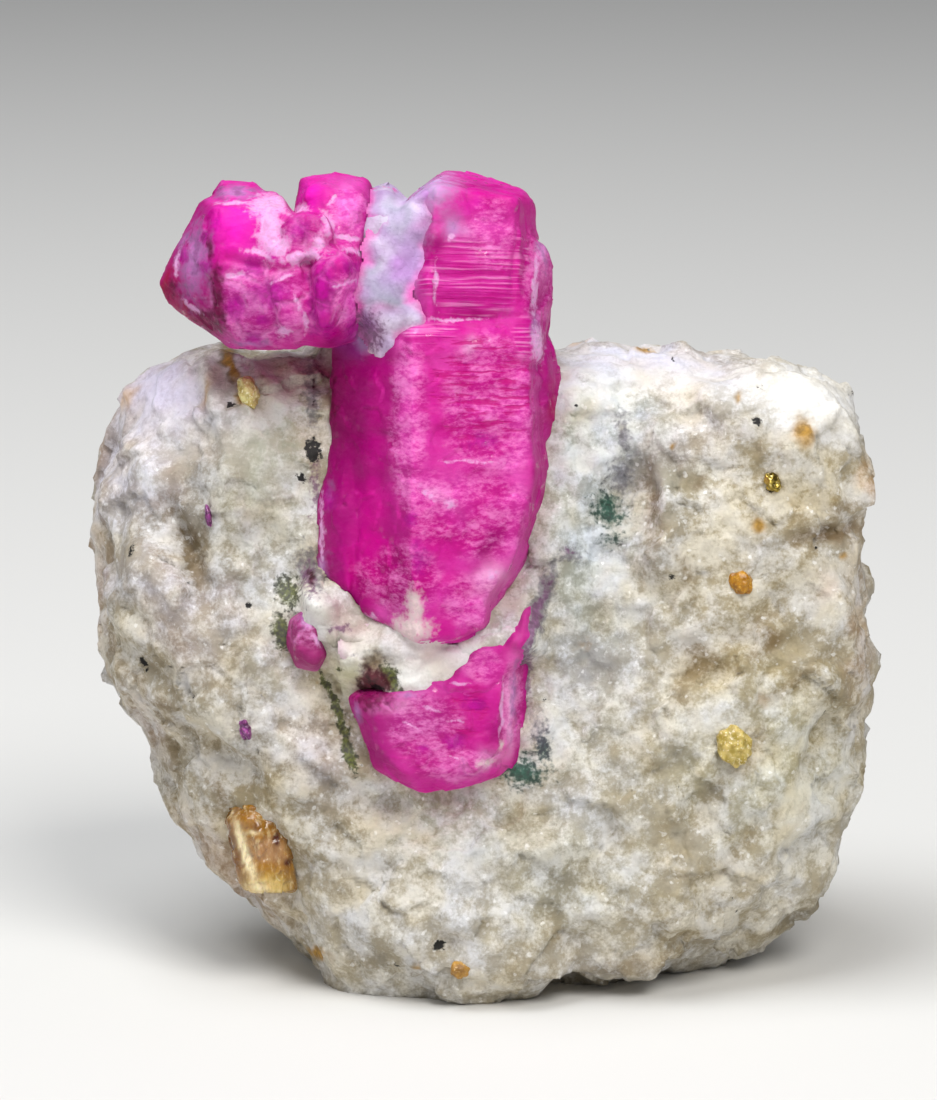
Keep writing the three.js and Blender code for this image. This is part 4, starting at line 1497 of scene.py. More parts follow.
    marks = {
        MarbleMark.TEAL: ovals(
            (8.1, 2.4, 0.8, 1.1, 1, 10), (8.9, 2, 1.1, 1, 0.6), (3.2, -13, 1.4, 0.9),
            (4.3, -11.6, 0.6, 1.2, 0.8), (8.4, 0.6, 1, 0.9, 0.5),
        ),
        MarbleMark.PINK: ovals((2.5, -9, 0.3, 1.6, 0.8, -4)),
        MarbleMark.BROWN: ovals(
            (-5.5, -6.7, 0.9, 0.8, 1, 10), (-14.4, 11.7, 0.4, 0.9, 1.5, 20),
            (-13.9, 10.4, 0.3, 0.9, 1.3, 30), (-4.6, -7.4, 0.5, 0.7, 1, 20),
            (-7.6, -8.4, 0.5, 1.4, 0.6, 24), (-14, 8.5, 0.6, 0.3, 0.8),
        ),
        MarbleMark.OLIVE: ovals(
            (-10.6, -2.5, 0.8, 1.2, 1, 8), (-11, -4.9, 0.4, 0.8, 1.5, 6),
            (-8.35, -7.9, 0.16, 0.9, 1.3, 24), (-7.95, -8.8, 0.18, 0.8, 1.3, 24),
            (-7.65, -9.7, 0.2, 0.8, 1.4, 18), (-7.35, -10.6, 0.24, 0.8, 1.4, 16),
            (-7.1, -11.5, 0.26, 0.8, 1.4, 18), (-6.85, -12.4, 0.3, 0.7, 1.4, 20),
            (-4.5, -7.6, 0.38, 0.8, 1.5, 24), (-7.6, -7, 0.3, 0.16, 1, 20),
        ),
        MarbleMark.OCHRE: ovals(
            (19.6, 6.9, 0.75, 0.9), (17, 1.4, 0.5, 0.5), (-9, -24.1, 0.6, 0.5),
            (15.9, 8.9, 0.4, 0.5, 0.7), (10.7, 12, 0.7, 0.25), (-3, -24.6, 0.5, 0.4, 0.7),
            (-14.1, 11, 0.3, 1.3, 1, 24), (22, -0.4, 0.35, 0.4, 0.7), (-13.3, 9, 0.5, 0.9, 0.8, 30),
            (-9.5, -7.7, 1.2, 0.12, 0.8, -20), (12, 6.2, 0.3, 0.3, 0.7),
        ),
        MarbleMark.MAROON: ovals(
            (-5.55, -7.8, 0.85, 0.85, 1.3, 10), (-5.9, -9, 0.5, 0.7), (-9.3, -1.6, 0.4, 0.9, 0.7),
            (-9, 9.4, 0.35, 2, 0.6),
        ),
        MarbleMark.PURPLE: ovals(
            (3.8, -4.4, 0.3, 2.2, 1.3, -20), (3.3, -7.6, 0.45, 2.2, 1, -4),
            (-7.5, -4.6, 0.9, 0.3, 0.7, 10), (-9.4, -1.6, 0.7, 1.4, 0.7, 10), (-6.1, 12.6, 1, 1, 1.2),
            (-9, 3.4, 0.4, 2, 0.8), (5.8, -0.1, 0.7, 0.5, 0.5),
        ),
        MarbleMark.GREY: ovals(
            (3.85, -4.2, 0.34, 2.3, 1.9, -20), (3, -6.8, 0.4, 1.5, 1.4, -8), (8.9, 4.4, 1, 1.4, 0.8),
            (5.9, -0.2, 1, 0.7, 0.8), (-9.2, 9, 0.5, 2.6, 0.9, 6), (-9.2, -1.2, 0.8, 1.6, 1, 10),
            (-5.7, -6.8, 0.9, 0.9, 0.8, 20), (4.2, -11, 0.7, 1.6, 0.8), (9.2, 6.8, 0.5, 2, 0.7, 10),
        ),
        MarbleMark.BLACK: ovals(
            (-9.2, 5.8, 0.6, 0.8), (-9.9, 4.3, 0.28, 0.24), (-14.1, 8.6, 0.34, 0.26),
            (-12.9, -3.3, 0.3, 0.24, 1, 30), (-19.2, -6.8, 0.26, 0.4), (17, 7.6, 0.3, 0.32),
            (17.1, 3.7, 0.2, 0.2), (17.8, 3.6, 0.3, 0.24), (-1.7, -23.3, 0.45, 0.36),
            (12.3, 11.5, 0.14, 0.3), (20.6, 0.1, 0.16, 0.16), (-9, 8.8, 0.3, 0.6, 0.7),
            (22.4, 2.5, 0.15, 0.14), (17.4, -3, 0.08, 0.3, 1, 20), (-19.9, 0, 0.14, 0.4),
            (-5.4, -8.1, 0.5, 0.3, 0.7, 10), (6.4, 8.6, 0.14, 0.14),
        ),
    }
    return MarbleBlock(held, forms, snow, calm, tones, marks)


@dataclass
class Crust:
    """Thin marble that laps over the crystals and closes the seams between them.

    Attributes:
        name: the piece's name.
        spots: its outline on the show face.
        thick: how far it stands over what it covers.
        bridge: width of the seams that it closes.
        lumpy: how uneven it is.
        rim: tone that its edge fades into.
        step: size of its mesh's faces.
        margin: how far round its spots it may reach.
        edge: depth inside the outline at which it ends.
        search: depth down to which the ground under it is looked for.
        tuck: how far its edge lies under what it covers.
        cliff: a step in the ground that it doesn't cross.
        layer: how far out its noise is read, wherever it lies.
        above: how far out the search for the ground starts.
        nothing: height of the ground where there is none.
    """

    name: str
    spots: list[Spot]
    thick: float = 0.4
    bridge: float = 1.2
    lumpy: float = 0.12
    rim: Tone | None = None
    step: float = 0.11
    margin: float = 1.4
    edge: float = -0.25
    search: float = -0.45
    tuck: float = 0.15
    cliff: float = 1.2
    layer: float = 11.0
    above: float = 30.0
    nothing: float = -50.0

    def grid(self) -> Array:
        """Lays a grid of points round the outline.

        Returns:
            The points' u and v: the first index runs to the right and the second up the face.
        """
        sides = (-self.margin, self.margin)
        us = [spot.u + side * spot.across for spot in self.spots for side in sides]
        vs = [spot.v + side * spot.along for spot in self.spots for side in sides]
        across = np.arange(min(us), max(us), self.step)
        along = np.arange(min(vs), max(vs), self.step)
        return np.stack(np.meshgrid(across, along, indexing="ij"), axis=2)

    def flat(self, where: Array) -> Array:
        """Points moved to the layer in which the crust's noise is read."""
        return np.column_stack([where[:, :2], np.full(len(where), self.layer)])

    def depth(self, where: Array) -> Array:
        """How deep points lie inside the ragged outline.

        Args:
            where: points.

        Returns:
            Each point's depth, the crust's own edge value where it ends.
        """
        flat = self.flat(where)
        eaten = 0.12 * NOISE.smooth(flat, 0.9) + 0.05 * NOISE.smooth(flat, 0.35)
        return shape_of(self.spots, NOISE.warped(flat, 1.2, 0.25)) + eaten

    def spread(self, heights: Array, pick: Callable[[Array, Array], Array]) -> Array:
        """Grows the high places, or the low ones, over half the width of a seam.

        Args:
            heights: the grid's heights.
            pick: picks the higher or the lower of two heights.

        Returns:
            The new heights.
        """
        for _ in range(round(self.bridge / self.step / 2)):
            padded = np.pad(heights, 1, mode="edge")
            heights = pick(pick(padded[:-2, 1:-1], padded[2:, 1:-1]), heights)
            heights = pick(pick(padded[1:-1, :-2], padded[1:-1, 2:]), heights)
        return heights

    def ground(self, grid: Array, wanted: Array, under: list[BVHTree]) -> Array:
        """How far out the pieces underneath reach, with their seams closed.

        Args:
            grid: the grid's points.
            wanted: true for the points where it is looked for.
            under: the pieces underneath, in the show frame.

        Returns:
            The height of the ground at each point of the grid.
        """
        heights = np.full(grid.shape[:2], self.nothing)
        down = Vector((0, 0, -1))
        for i, j in zip(*np.nonzero(wanted)):
            start = Vector((*grid[i, j], self.above))
            hits = [tree.ray_cast(start, down)[0] for tree in under]
            heights[i, j] = max((hit.z for hit in hits if hit is not None), default=self.nothing)
        closed = self.spread(self.spread(heights, np.maximum), np.minimum)
        for _ in range(3):
            padded = np.pad(closed, 1, mode="edge")
            sides = padded[:-2, 1:-1] + padded[2:, 1:-1] + padded[1:-1, :-2] + padded[1:-1, 2:]
            closed = np.where(np.abs(sides / 4 - closed) < 1, (sides + 2 * closed) / 6, closed)
        return closed

    def build(
        self,
        dress: Callable[[Surface], None],
        under: list[BVHTree],
        slot: str,
        material: Material,
    ) -> None:
        """Makes the crust over the pieces that are there.

        Args:
            dress: stores what the material reads on the crust's points.
            under: what it lies on, in the show frame.
            slot: not used.
            material: its material.
        """
        grid = self.grid()
        flat = self.flat(grid.reshape(-1, 2))
        depth = self.depth(flat).reshape(grid.shape[:2])
        ground = self.ground(grid, depth > self.search, under)
        rise = (self.thick + self.tuck) * smoothstep(depth, self.edge, 0.7) - self.tuck
        lumps = (self.lumpy * NOISE.fractal(flat, 1.6, 2)).reshape(grid.shape[:2])
        out = ground + rise + lumps * smoothstep(depth, 0.0, 0.4)
        where = np.concatenate([grid, out[:, :, None]], axis=2)
        kept = (depth > self.edge) & (ground > 0)
        points = FACE.to_world(where.reshape(-1, 3)).reshape(where.shape)
        mesh = bpy.data.meshes.new(self.name)
        with edited(mesh) as shape:
            made = {(i, j): shape.verts.new(points[i, j]) for i, j in zip(*np.nonzero(kept))}
            for i, j in made:
                ring = [(i, j), (i + 1, j), (i + 1, j + 1), (i, j + 1)]
                outs = [out[corner] for corner in ring if corner in made]
                if len(outs) == len(ring) and max(outs) - min(outs) < self.cliff:
                    shape.faces.new([made[corner] for corner in ring])
            loose = [vert for vert in shape.verts if not vert.link_faces]
            bmesh.ops.delete(shape, geom=loose, context="VERTS")
        surface = Surface(mesh)
        if self.rim:
            surface.rim = self.rim.rgb
            surface.faded = 1 - smoothstep(self.depth(surface.where), self.edge, 0.3)
        dress(surface)
        finished(linked(self.name, mesh), None, material)


def crusts() -> list[Crust]:
    """The marble that laps over the crystals.

    Returns:
        The filling at the left of the head, the band under the main crystal and the chalky end
        of the band.
    """
    fill = ovals(
        (-3.3, 20.9, 1.1, 1.5), (-3.5, 19.3, 1.5, 2), (-4.2, 17.2, 1.6, 2.2), (-4.8, 15.2, 1.3, 2.1),
        (-5.2, 13.4, 1.2, 1.5), (-5.1, 12.1, 0.7, 1.1), (-4.8, 20.2, 0.9, 1.2), (-3.9, 13.45, 1.25, 0.95),
        (-5.3, 14.9, 1.2, 1.3),
    )
    notch = ovals(
        (-3.8, -5.6, 1.7, 0.9), (-2.5, -5.9, 1.6, 1, 1, -30), (-1, -6.4, 1.6, 0.8), (-5.6, -5.6, 1.6, 1),
        (1.5, -5.3, 1.1, 0.5, 1, 28), (-3.4, -7.2, 1.8, 1), (-1.8, -6.9, 1.2, 0.9),
        (-5.2, -7.2, 1.2, 0.8),
    )
    chalk = ovals(
        (-8.9, -3.1, 1, 1.15), (-8, -3.7, 1.1, 0.9, 1, -20), (-6.9, -4.6, 1.1, 0.8, 1, -30),
        (-8.9, -1.7, 0.5, 0.8),
    )
    return [
        Crust("marble_fill", fill, 0.3, 2.0, 0.08, Tone.PINK),
        Crust("marble_notch", notch, 0.16, 2.0, 0.07, Tone.PINK_WHITE),
        Crust("marble_chalk", chalk, 0.4, 1.2, 0.16),
    ]


def ruby_wedge() -> Crust:
    """The flank of the lower ruby that comes up at the right of the band of marble.

    Returns:
        The flank.
    """
    flank = ovals(
        (0.7, -7.3, 1.6, 1.2, 1, 25), (1.5, -6.6, 1.1, 1.2), (2.4, -6, 0.75, 1.3, 1, -28),
        (2.75, -5.3, 0.6, 1.4, 1, -28), (3.15, -4.5, 0.36, 1.5, 1, -28), (-0.3, -7.4, 1.5, 1, 1, 30),
        (0.5, -6.6, 1.2, 0.7, 1, 35),
    )
    return Crust("ruby_wedge", flank, 0.3, 1.6, 0.05, Tone.PINK)


# --- the rubies


@dataclass(frozen=True)
class Drag:
    """A soft pull on a crystal's surface along the show face.

    Attributes:
        spot: where it pulls, and how strongly.
        right: how far it pulls to the right.
        up: how far it pulls up the face.
    """

    spot: Spot
    right: float
    up: float

    def pull(self, surface: Surface) -> None:
        """Moves the points round the spot."""
        share = self.spot.glow(surface.where)
        surface.where[:, :2] += np.outer(share, (self.right, self.up))


@dataclass
class Ruby:
    """One ruby, or the grown-together group of them.

    Attributes:
        node: its CAD node.
        name: the piece's name.
        voxel: size of the mesh's faces.
        swell: how far the crystal is grown all over, to meet the marble.
        tones: soft patches of tone on the side that shows, some of them painted shade.
        marks: its crisp marks.
        mottled: places with pale frosting over the deep colour.
        lined: places with long growth lines.
        dashed: places with short, deep-coloured growth lines, partly painted shade.
        grown: places where many small crystals have grown together.
        forms: small swells and hollows.
        worn: how many times its edges are evened out.
        drags: soft pulls on its surface.
        softened: places that are evened out much more.
        softening: how many times they are.
    """

    node: str
    name: str
    voxel: float
    swell: float
    tones: list[Wash]
    marks: dict[RubyMark, list[Spot]]
    mottled: list[Spot]
    lined: list[Spot]
    dashed: list[Spot]
    grown: list[Spot]
    forms: list[Spot]
    worn: int = 8
    drags: tuple[Drag, ...] = ()
    softened: tuple[Spot, ...] = ()
    softening: int = 50

    def roughness(self, surface: Surface) -> Array:
        """How far each point rises or sinks.

        Args:
            surface: the crystal's points.

        Returns:
            The height of each point.
        """
        where = surface.where
        front = surface.front(0.2, 0.6)
        worn = 0.05 * NOISE.fractal(where, 2.6, 3)
        chips = 0.07 * NOISE.facets(NOISE.warped(where, 2.0, 0.4), 1.6)
        fine = 0.03 * NOISE.facets(where, 0.6)
        forms = front * glow_of(self.forms, where)
        return self.swell + worn + chips + fine + forms

    def colours(self, surface: Surface) -> Array:
        """The soft colours of the crystal, with painted shade on the faces that look to either side.

        Args:
            surface: the crystal's points.

        Returns:
            The colour of each point.
        """
        where = surface.where
        facing = surface.facing
        # painted shade: faces that look to the left, and less so those that look to the right, are
        # darkened towards the deep tone
        left = smoothstep(-facing[:, 0], 0.25, 0.65)
        right = smoothstep(facing[:, 0], 0.6, 0.95)
        mottle = smoothstep(NOISE.fractal(where, 1.8, 3), -0.6, 0.7)
        colours = blended(Tone.MAGENTA.rgb, Tone.ROSE.rgb, 0.3 + 0.7 * mottle)
        colours = blended(colours, Tone.DEEP.rgb, np.maximum(0.9 * left, 0.5 * right))
        front = smoothstep(facing[:, 2], -0.1, 0.35)
        ragged = NOISE.warped(where, 1.0, 0.35)
        return washed(colours, self.tones, ragged, front)

    def masks(self, surface: Surface) -> dict[str, Array]:
        """Where the crystal is frosted, lined, dashed and grown together.

        Args:
            surface: the crystal's points.

        Returns:
            Each kind's name with its share at each point, from 0 to 1.
        """
        front = surface.front(0.1, 0.6)
        ragged = NOISE.warped(surface.where, 0.9, 0.3)
        places = (self.mottled, self.lined, self.dashed, self.grown)
        masks = {}
        for name, spots in zip(("frost", "lines", "dashes", "grown"), places):
            masks[name] = smoothstep(shape_of(spots, ragged), 0.0, 0.35) * front
        masks["frost"] = 0.06 + 0.94 * masks["frost"]
        return masks

    def build(self, material: Material) -> Object:
        """Makes the crystal, sculpted, marked and dressed.

        Args:
            material: the rubies' material.

        Returns:
            The finished piece.
        """
        mesh = remeshed(self.node, self.voxel)
        smoothed(mesh, self.worn)
        smoothed(mesh, self.softening, shape_of(self.softened, Surface(mesh).where) > 0)
        surface = Surface(mesh)
        surface.push(self.roughness(surface))
        for drag in self.drags:
            drag.pull(surface)
        surface.write()
        self.dress(surface)
        piece = linked(self.name, mesh)
        finished(piece, self.node, material)
        return piece

    def dress(self, surface: Surface) -> None:
        """Stores all that the rubies' material reads.

        Args:
            surface: the points to dress.
        """
        front = surface.front(-0.2, 0.3)
        surface.paint("zone", self.colours(surface))
        ragged = NOISE.warped(surface.where, 0.8, 0.15)
        for mark in RubyMark:
            depth = shape_of(self.marks.get(mark, []), ragged)
            surface.mark(mark.name.lower(), depth * front - (1 - front))
        for name, values in self.masks(surface).items():
            surface.mark(name, values)
        surface.arrow("face", surface.where)


def ruby_cluster() -> Ruby:
    """The main crystal with its head and the cluster at its left.

    Returns:
        The group as one ruby.
    """
    tones = washes(
        # main crystal: deep left face, darkened further as painted shade, pink front, a paler strip down
        # its right edge
        (Tone.WINE, (-7.6, 8.4, 0.8, 4.6, 0.9), (-7.9, 11.2, 0.9, 1.2, 0.7)),
        (Tone.MAGENTA, (-5.4, 5.8, 0.6, 5.5, 0.6), (-5.6, -0.6, 1.2, 2.6, 0.8), (-6.6, 5, 0.8, 4, 0.5)),
        (Tone.VIVID, (-6, 1.4, 0.9, 3, 0.5), (-6, -1.4, 1.2, 2.2, 0.5)),
        (Tone.DEEP, (-6.5, 6.8, 0.9, 3.8, 0.9), (-5.2, 5.6, 0.5, 1.8, 0.4)),
        (Tone.WINE, (-6.8, 6.6, 0.8, 2.8, 0.5)),
        (Tone.DEEP, (-7.5, 1.4, 0.8, 4.4, 0.9), (-6.6, -3, 0.9, 1.2, 0.8), (-8.2, 2, 0.6, 3, 0.8)),
        (Tone.DUSTY, (-8.5, -0.4, 0.6, 2.6, 0.6)),
        (Tone.PLUM, (-6.6, 12, 1.1, 0.8, 0.8)),
        (Tone.PINK, (-3.6, 8, 0.7, 4.4, 0.9), (-4.8, -3.9, 0.9, 0.6, 0.8), (2.9, 5, 0.7, 6.5, 0.8, -4),
            (1.7, 7.9, 1.2, 1.2, 0.4), (-1.2, 3.6, 1.8, 1.4, 0.6), (0.9, -3.4, 1.5, 0.9, 0.6),
            (-0.8, 11, 1.6, 0.9, 0.4), (2.2, -1.6, 1, 1.6, 0.6, -30)),
        (Tone.MAGENTA, (-0.2, 9.4, 1.8, 1.1, 0.45), (0.9, 6.2, 1.5, 0.7, 0.6),
            (-2.6, -0.6, 0.8, 1.8, 0.6), (-1.6, 5.6, 1.2, 0.5, 0.4), (2, 10.8, 0.8, 1.4, 0.4),
            (1.9, 1.8, 0.8, 0.8, 0.6)),
        (Tone.DEEP, (1.3, 0.3, 0.5, 1.5, 1, -35), (4.6, 9.6, 0.7, 3.2, 0.7), (4.4, 4, 0.5, 3, 0.35)),
        (Tone.CRIMSON, (5.1, 8, 0.4, 1.8, 0.7)),
        (Tone.PALE_PINK, (1.3, -1.6, 0.9, 0.6, 0.7, 30)),
        (Tone.BLUSH, (1.3, -1.6, 1, 0.8, 0.8, 30), (0.1, 11.9, 0.5, 0.6, 1, -20),
            (-1.6, 3.1, 1.2, 0.3, 0.7, -35)),
        # head
        (Tone.MAGENTA, (1.2, 20.6, 1.9, 0.8, 0.9, -4), (3.2, 17, 0.6, 3.4, 0.5, -4)),
        (Tone.PINK, (1, 18.6, 1.3, 1, 0.9), (1.6, 17.4, 1, 0.9, 0.6)),
        (Tone.BRIGHT, (0.4, 20, 0.8, 0.6, 0.5)),
        (Tone.DEEP, (-1.9, 17.4, 0.5, 0.9, 0.9, 10), (0.2, 13.9, 1.8, 0.4, 0.8),
            (0.6, 21.4, 2, 0.2, 0.7, -4)),
        (Tone.GREY_LILAC, (-0.9, 18.6, 0.7, 0.8, 0.7)),
        (Tone.MAUVE, (-2.9, 14.7, 0.9, 1.2, 0.6, -24), (4.5, 16.4, 0.5, 1.8, 0.6)),
        (Tone.PALE_PINK, (4.4, 17.2, 0.4, 1.4, 0.5)),
        (Tone.DEEP, (4, 14.2, 0.6, 1.6, 0.6, -10)),
        # left cluster
        (Tone.WINE, (-14.6, 14.6, 0.4, 2.6), (-15.1, 13.4, 0.9, 0.7, 0.9, -30)),
        (Tone.CRIMSON, (-17.6, 15.8, 0.5, 1.2, 1, -10), (-16.4, 13.9, 1.9, 0.5, 1, -38)),
        (Tone.WINE, (-15.9, 13.9, 1.6, 0.5, 0.9, -38)),
        (Tone.BRIGHT, (-13.6, 18.4, 1.2, 1.8), (-13.2, 19.4, 1, 0.6, 0.7)),
        (Tone.MAGENTA, (-14, 17, 0.9, 0.8, 0.9), (-9.6, 18.1, 1.2, 1.2, 0.9)),
        (Tone.MAUVE, (-12.4, 14.4, 2, 2.2, 0.7), (-10.4, 13.2, 1.4, 1.2, 0.6), (-9.6, 18.8, 1, 0.5, 0.5),
            (-13, 12.4, 1.4, 0.7, 0.6), (-8.1, 21.5, 1.6, 0.25, 0.6)),
        (Tone.PINK, (-7, 14.3, 0.8, 1.4, 0.8), (-10.5, 13.5, 0.7, 0.8, 0.6), (-9.6, 17.6, 0.8, 0.4, 0.6)),
        (Tone.MAGENTA, (-8.6, 14.4, 0.8, 1.8, 0.7), (-8.3, 12.6, 1, 0.5, 0.9),
            (-6.8, 16.3, 0.8, 0.4, 0.6, 30)),
        (Tone.SALMON, (-7, 19.7, 0.9, 1.5, 0.95), (-6.7, 14.2, 0.6, 1.4, 0.6),
            (-9.9, 18.2, 0.5, 0.5, 0.6)),
        (Tone.BRIGHT, (-9.1, 20.8, 0.7, 0.9), (-6.6, 14.4, 0.5, 1.2, 0.4)),
    )
    marks = {
        RubyMark.LILAC: ovals(
            (-15.95, 16.9, 1.1, 2.6, 0.9, -5), (-13.6, 20.9, 1.3, 0.5), (-8.1, 3.4, 0.6, 1.5, 0.25),
            (-8.6, -1.2, 0.5, 1.3, 0.8), (-12.6, 12, 1.4, 0.4, 0.7), (4.4, 17.6, 0.6, 1.4, 0.6),
            (-0.9, 18.6, 0.7, 0.8, 0.7), (3.9, 12.8, 0.4, 1.6, 0.7), (-16.6, 18.2, 0.5, 1, 0.6, -36),
        ),
        RubyMark.DUSK: ovals(
            (-12.5, 16.3, 0.7, 0.65), (-11.5, 14.8, 1, 0.75, 1.2), (-13.4, 14, 0.75, 0.8),
            (-11.9, 13.3, 0.4, 0.35), (-12.4, 12.3, 0.5, 0.3), (-11.3, 17.1, 0.5, 0.4),
            (-8.5, 14.8, 0.8, 2.2, 1.1, -8), (-9.7, 18.5, 1.3, 1.1, 0.65), (-15.3, 16.4, 0.5, 0.5),
            (-6.7, 16.3, 0.7, 0.45, 1, 20), (-8.4, 12.8, 0.9, 0.6), (-16.6, 17.2, 0.25, 0.6),
            (-15.3, 18.1, 0.4, 0.4), (-8.2, 3, 0.5, 1, 0.8), (-2.8, -0.6, 0.9, 1.8, 0.6),
            (-3.3, 1.8, 0.5, 0.7, 0.7), (-6.6, 12.9, 0.7, 0.6), (0.9, 6.3, 1.5, 0.7, 0.6),
            (-9, 15.8, 0.7, 0.5, 0.7), (-14.6, 18.9, 0.3, 0.6, 0.5),
        ),
        RubyMark.WINE: ovals(
            (-14.5, 14.4, 0.45, 2.2), (-15.1, 13.3, 0.9, 0.6, 1, -30), (-17.4, 15.2, 0.6, 0.8, 0.7),
            (-15, 17.6, 0.3, 1.4, 0.6), (-8, 8.6, 0.5, 2.4, 0.6),
        ),
        RubyMark.MILK: ovals(
            (-11.5, 20.05, 1.1, 0.7, 1.3), (-11.5, 18.6, 0.6, 1.5, 1.3, 4), (-10.8, 17.5, 0.45, 0.6, 1.2),
            (-9.85, 19.9, 0.6, 0.35), (-8.2, 18.9, 0.4, 1.1, 0.8, 10), (-9.6, 16.9, 1.1, 0.34, 1.3, 12),
            (-8.6, 17.8, 0.35, 0.5, 1, -20), (-7, 18.1, 0.9, 0.18, 1, -5), (-13.6, 20.2, 1.2, 0.16),
            (-17, 16.7, 0.22, 0.9, 0.8, -10), (-16.2, 14.2, 1.2, 0.2, 0.6, -38),
            (-12.2, 17.15, 1, 0.2, 1, -14), (-10.7, 15.7, 0.8, 0.2, 0.8, 20),
            (-9.85, 14.35, 0.22, 0.8, 0.8, 24), (-9.4, 13.1, 0.2, 0.8, 0.8),
            (-13.6, 15.9, 0.9, 0.2, 0.7, 8), (-10.7, 12.6, 0.4, 0.3), (-7, 15.4, 0.9, 0.16, 0.7, 20),
            (-6.6, 17.3, 0.8, 0.3, 0.8, -10), (-7.9, 20.3, 0.14, 0.4, 1, -40),
            (1.4, -1.4, 0.7, 0.5, 0.5, 30), (-2.45, 3.3, 0.3, 1.2, 0.5, 48),
            (-1, 2.7, 0.5, 0.4, 0.7, -20), (-0.8, 13.35, 2.2, 0.16, 0.8, 2),
            (-0.9, 18.1, 0.2, 0.3, 1, -40), (-1.9, 15.4, 0.14, 1.6, 0.8, 2),
            (3.9, 15.6, 0.2, 2.6, 0.8, -4), (4.1, 12, 0.4, 1.2), (-8.6, 1, 0.2, 2.6, 0.8),
            (0.1, 5.1, 2.5, 0.12, 0.7), (-5.6, -3.9, 0.6, 0.3, 0.6, -20),
        ),
        RubyMark.LAVENDER: ovals(
            (-2.6, 21.4, 1.9, 1.6), (-3.6, 19.2, 1.3, 2), (-4.3, 17.2, 1.2, 2.2), (-4.3, 15.6, 1.1, 1.4),
            (-5.8, 12.2, 0.7, 0.7),
        ),
        RubyMark.STONE: ovals((-3.1, -3.3, 0.55, 1.2), (-3.3, -4.6, 1.3, 1), (-4.7, -5.2, 1, 0.5)),
    }
    mottled = ovals(
        (-6, -1.6, 1.5, 2.6, 0.6), (-3.5, 7.4, 1.4, 6), (-2, 2.4, 2.2, 2.6), (1.4, 8.4, 3.4, 5.2),
        (-3.8, -1.6, 2.6, 2.4), (0.9, 2, 3.4, 3), (0.6, -3, 2.8, 2), (-12, 14.2, 3.4, 3),
        (1.4, 18.4, 1.8, 2.6), (-6.9, 19.6, 1.6, 2.2), (-7, 14.8, 1.6, 3, 0.8), (-9.6, 18, 1.6, 1.4),
        (4.2, 16, 1.4, 3.4),
    )
    lined = ovals(
        (0.25, 15.8, 2.6, 2, 1.3), (-2.2, 12.6, 1.9, 0.9), (3.4, 12.4, 1, 1.4), (3.2, 17, 0.7, 3, 0.7),
    )
    dashed = ovals((0.9, 9.2, 3.2, 2.9, 1.2), (0.4, 11.4, 2.6, 1.2))
    grown = ovals(
        (-11.6, 14.2, 4.6, 3), (-8, 15.6, 2.2, 3.4), (-9.6, 18.4, 1.6, 1.2), (-6.9, 19.4, 1.4, 1.6, 0.7),
    )
    forms = ovals(
        (-1.9, 15.4, 0.3, 1.8, -0.16, 2), (0.2, 13.5, 2.6, 0.2, -0.25, 2), (-0.8, 18.5, 0.7, 0.8, -0.15),
        (2.7, 17, 0.22, 3.4, -0.2, -6), (-3.1, -3.9, 0.9, 1.3, -0.3), (1.5, -1.8, 0.8, 1, 0.12),
        (-11.5, 18.4, 0.4, 1.6, 0.14, 4), (-9.4, 14.2, 0.3, 2.2, -0.25, 4),
        (1.3, 0.3, 0.5, 1.3, -0.15, -35), (-9.6, 17, 1.2, 0.3, 0.12, 12),
        (-12.6, 16.2, 1.4, 0.3, -0.15, 20), (-12.4, 15, 0.8, 0.7, 0.14), (-12.7, 14.2, 1.3, 1.4, 0.3),
        (-10.2, 13.8, 0.9, 1.3, 0.3), (-7.9, 15.3, 1, 1.9, 0.35), (-13.6, 18.3, 1.1, 1.3, 0.2),
        (-9.7, 18.4, 0.8, 0.8, 0.3), (-11.4, 14.2, 0.25, 1.8, -0.3, 8), (-9.1, 14.9, 0.25, 2.4, -0.35, 8),
        (-12.4, 16.5, 1.6, 0.25, -0.3, -12), (-7, 19.6, 0.9, 1.2, 0.2),
        (-9.4, 16.5, 1.6, 0.25, -0.25, 10), (-8.3, 18.6, 0.25, 1.4, -0.2, 8),
    )
    drags = (
        Drag(Spot(0.3, -4.8, 1.5, 1.3), 0.8, 0.1),
        Drag(Spot(4.3, 2.0, 1.0, 4.0), 0.3, 0.0),
    )
    softened = (Spot(-6.9, 1.0, 1.7, 5.0),)
    return Ruby(
        "ruby_cluster", "ruby_cluster_crystals", 0.156, 0.1, tones, marks,
        mottled, lined, dashed, grown, forms, worn=12, drags=drags, softened=softened,
    )


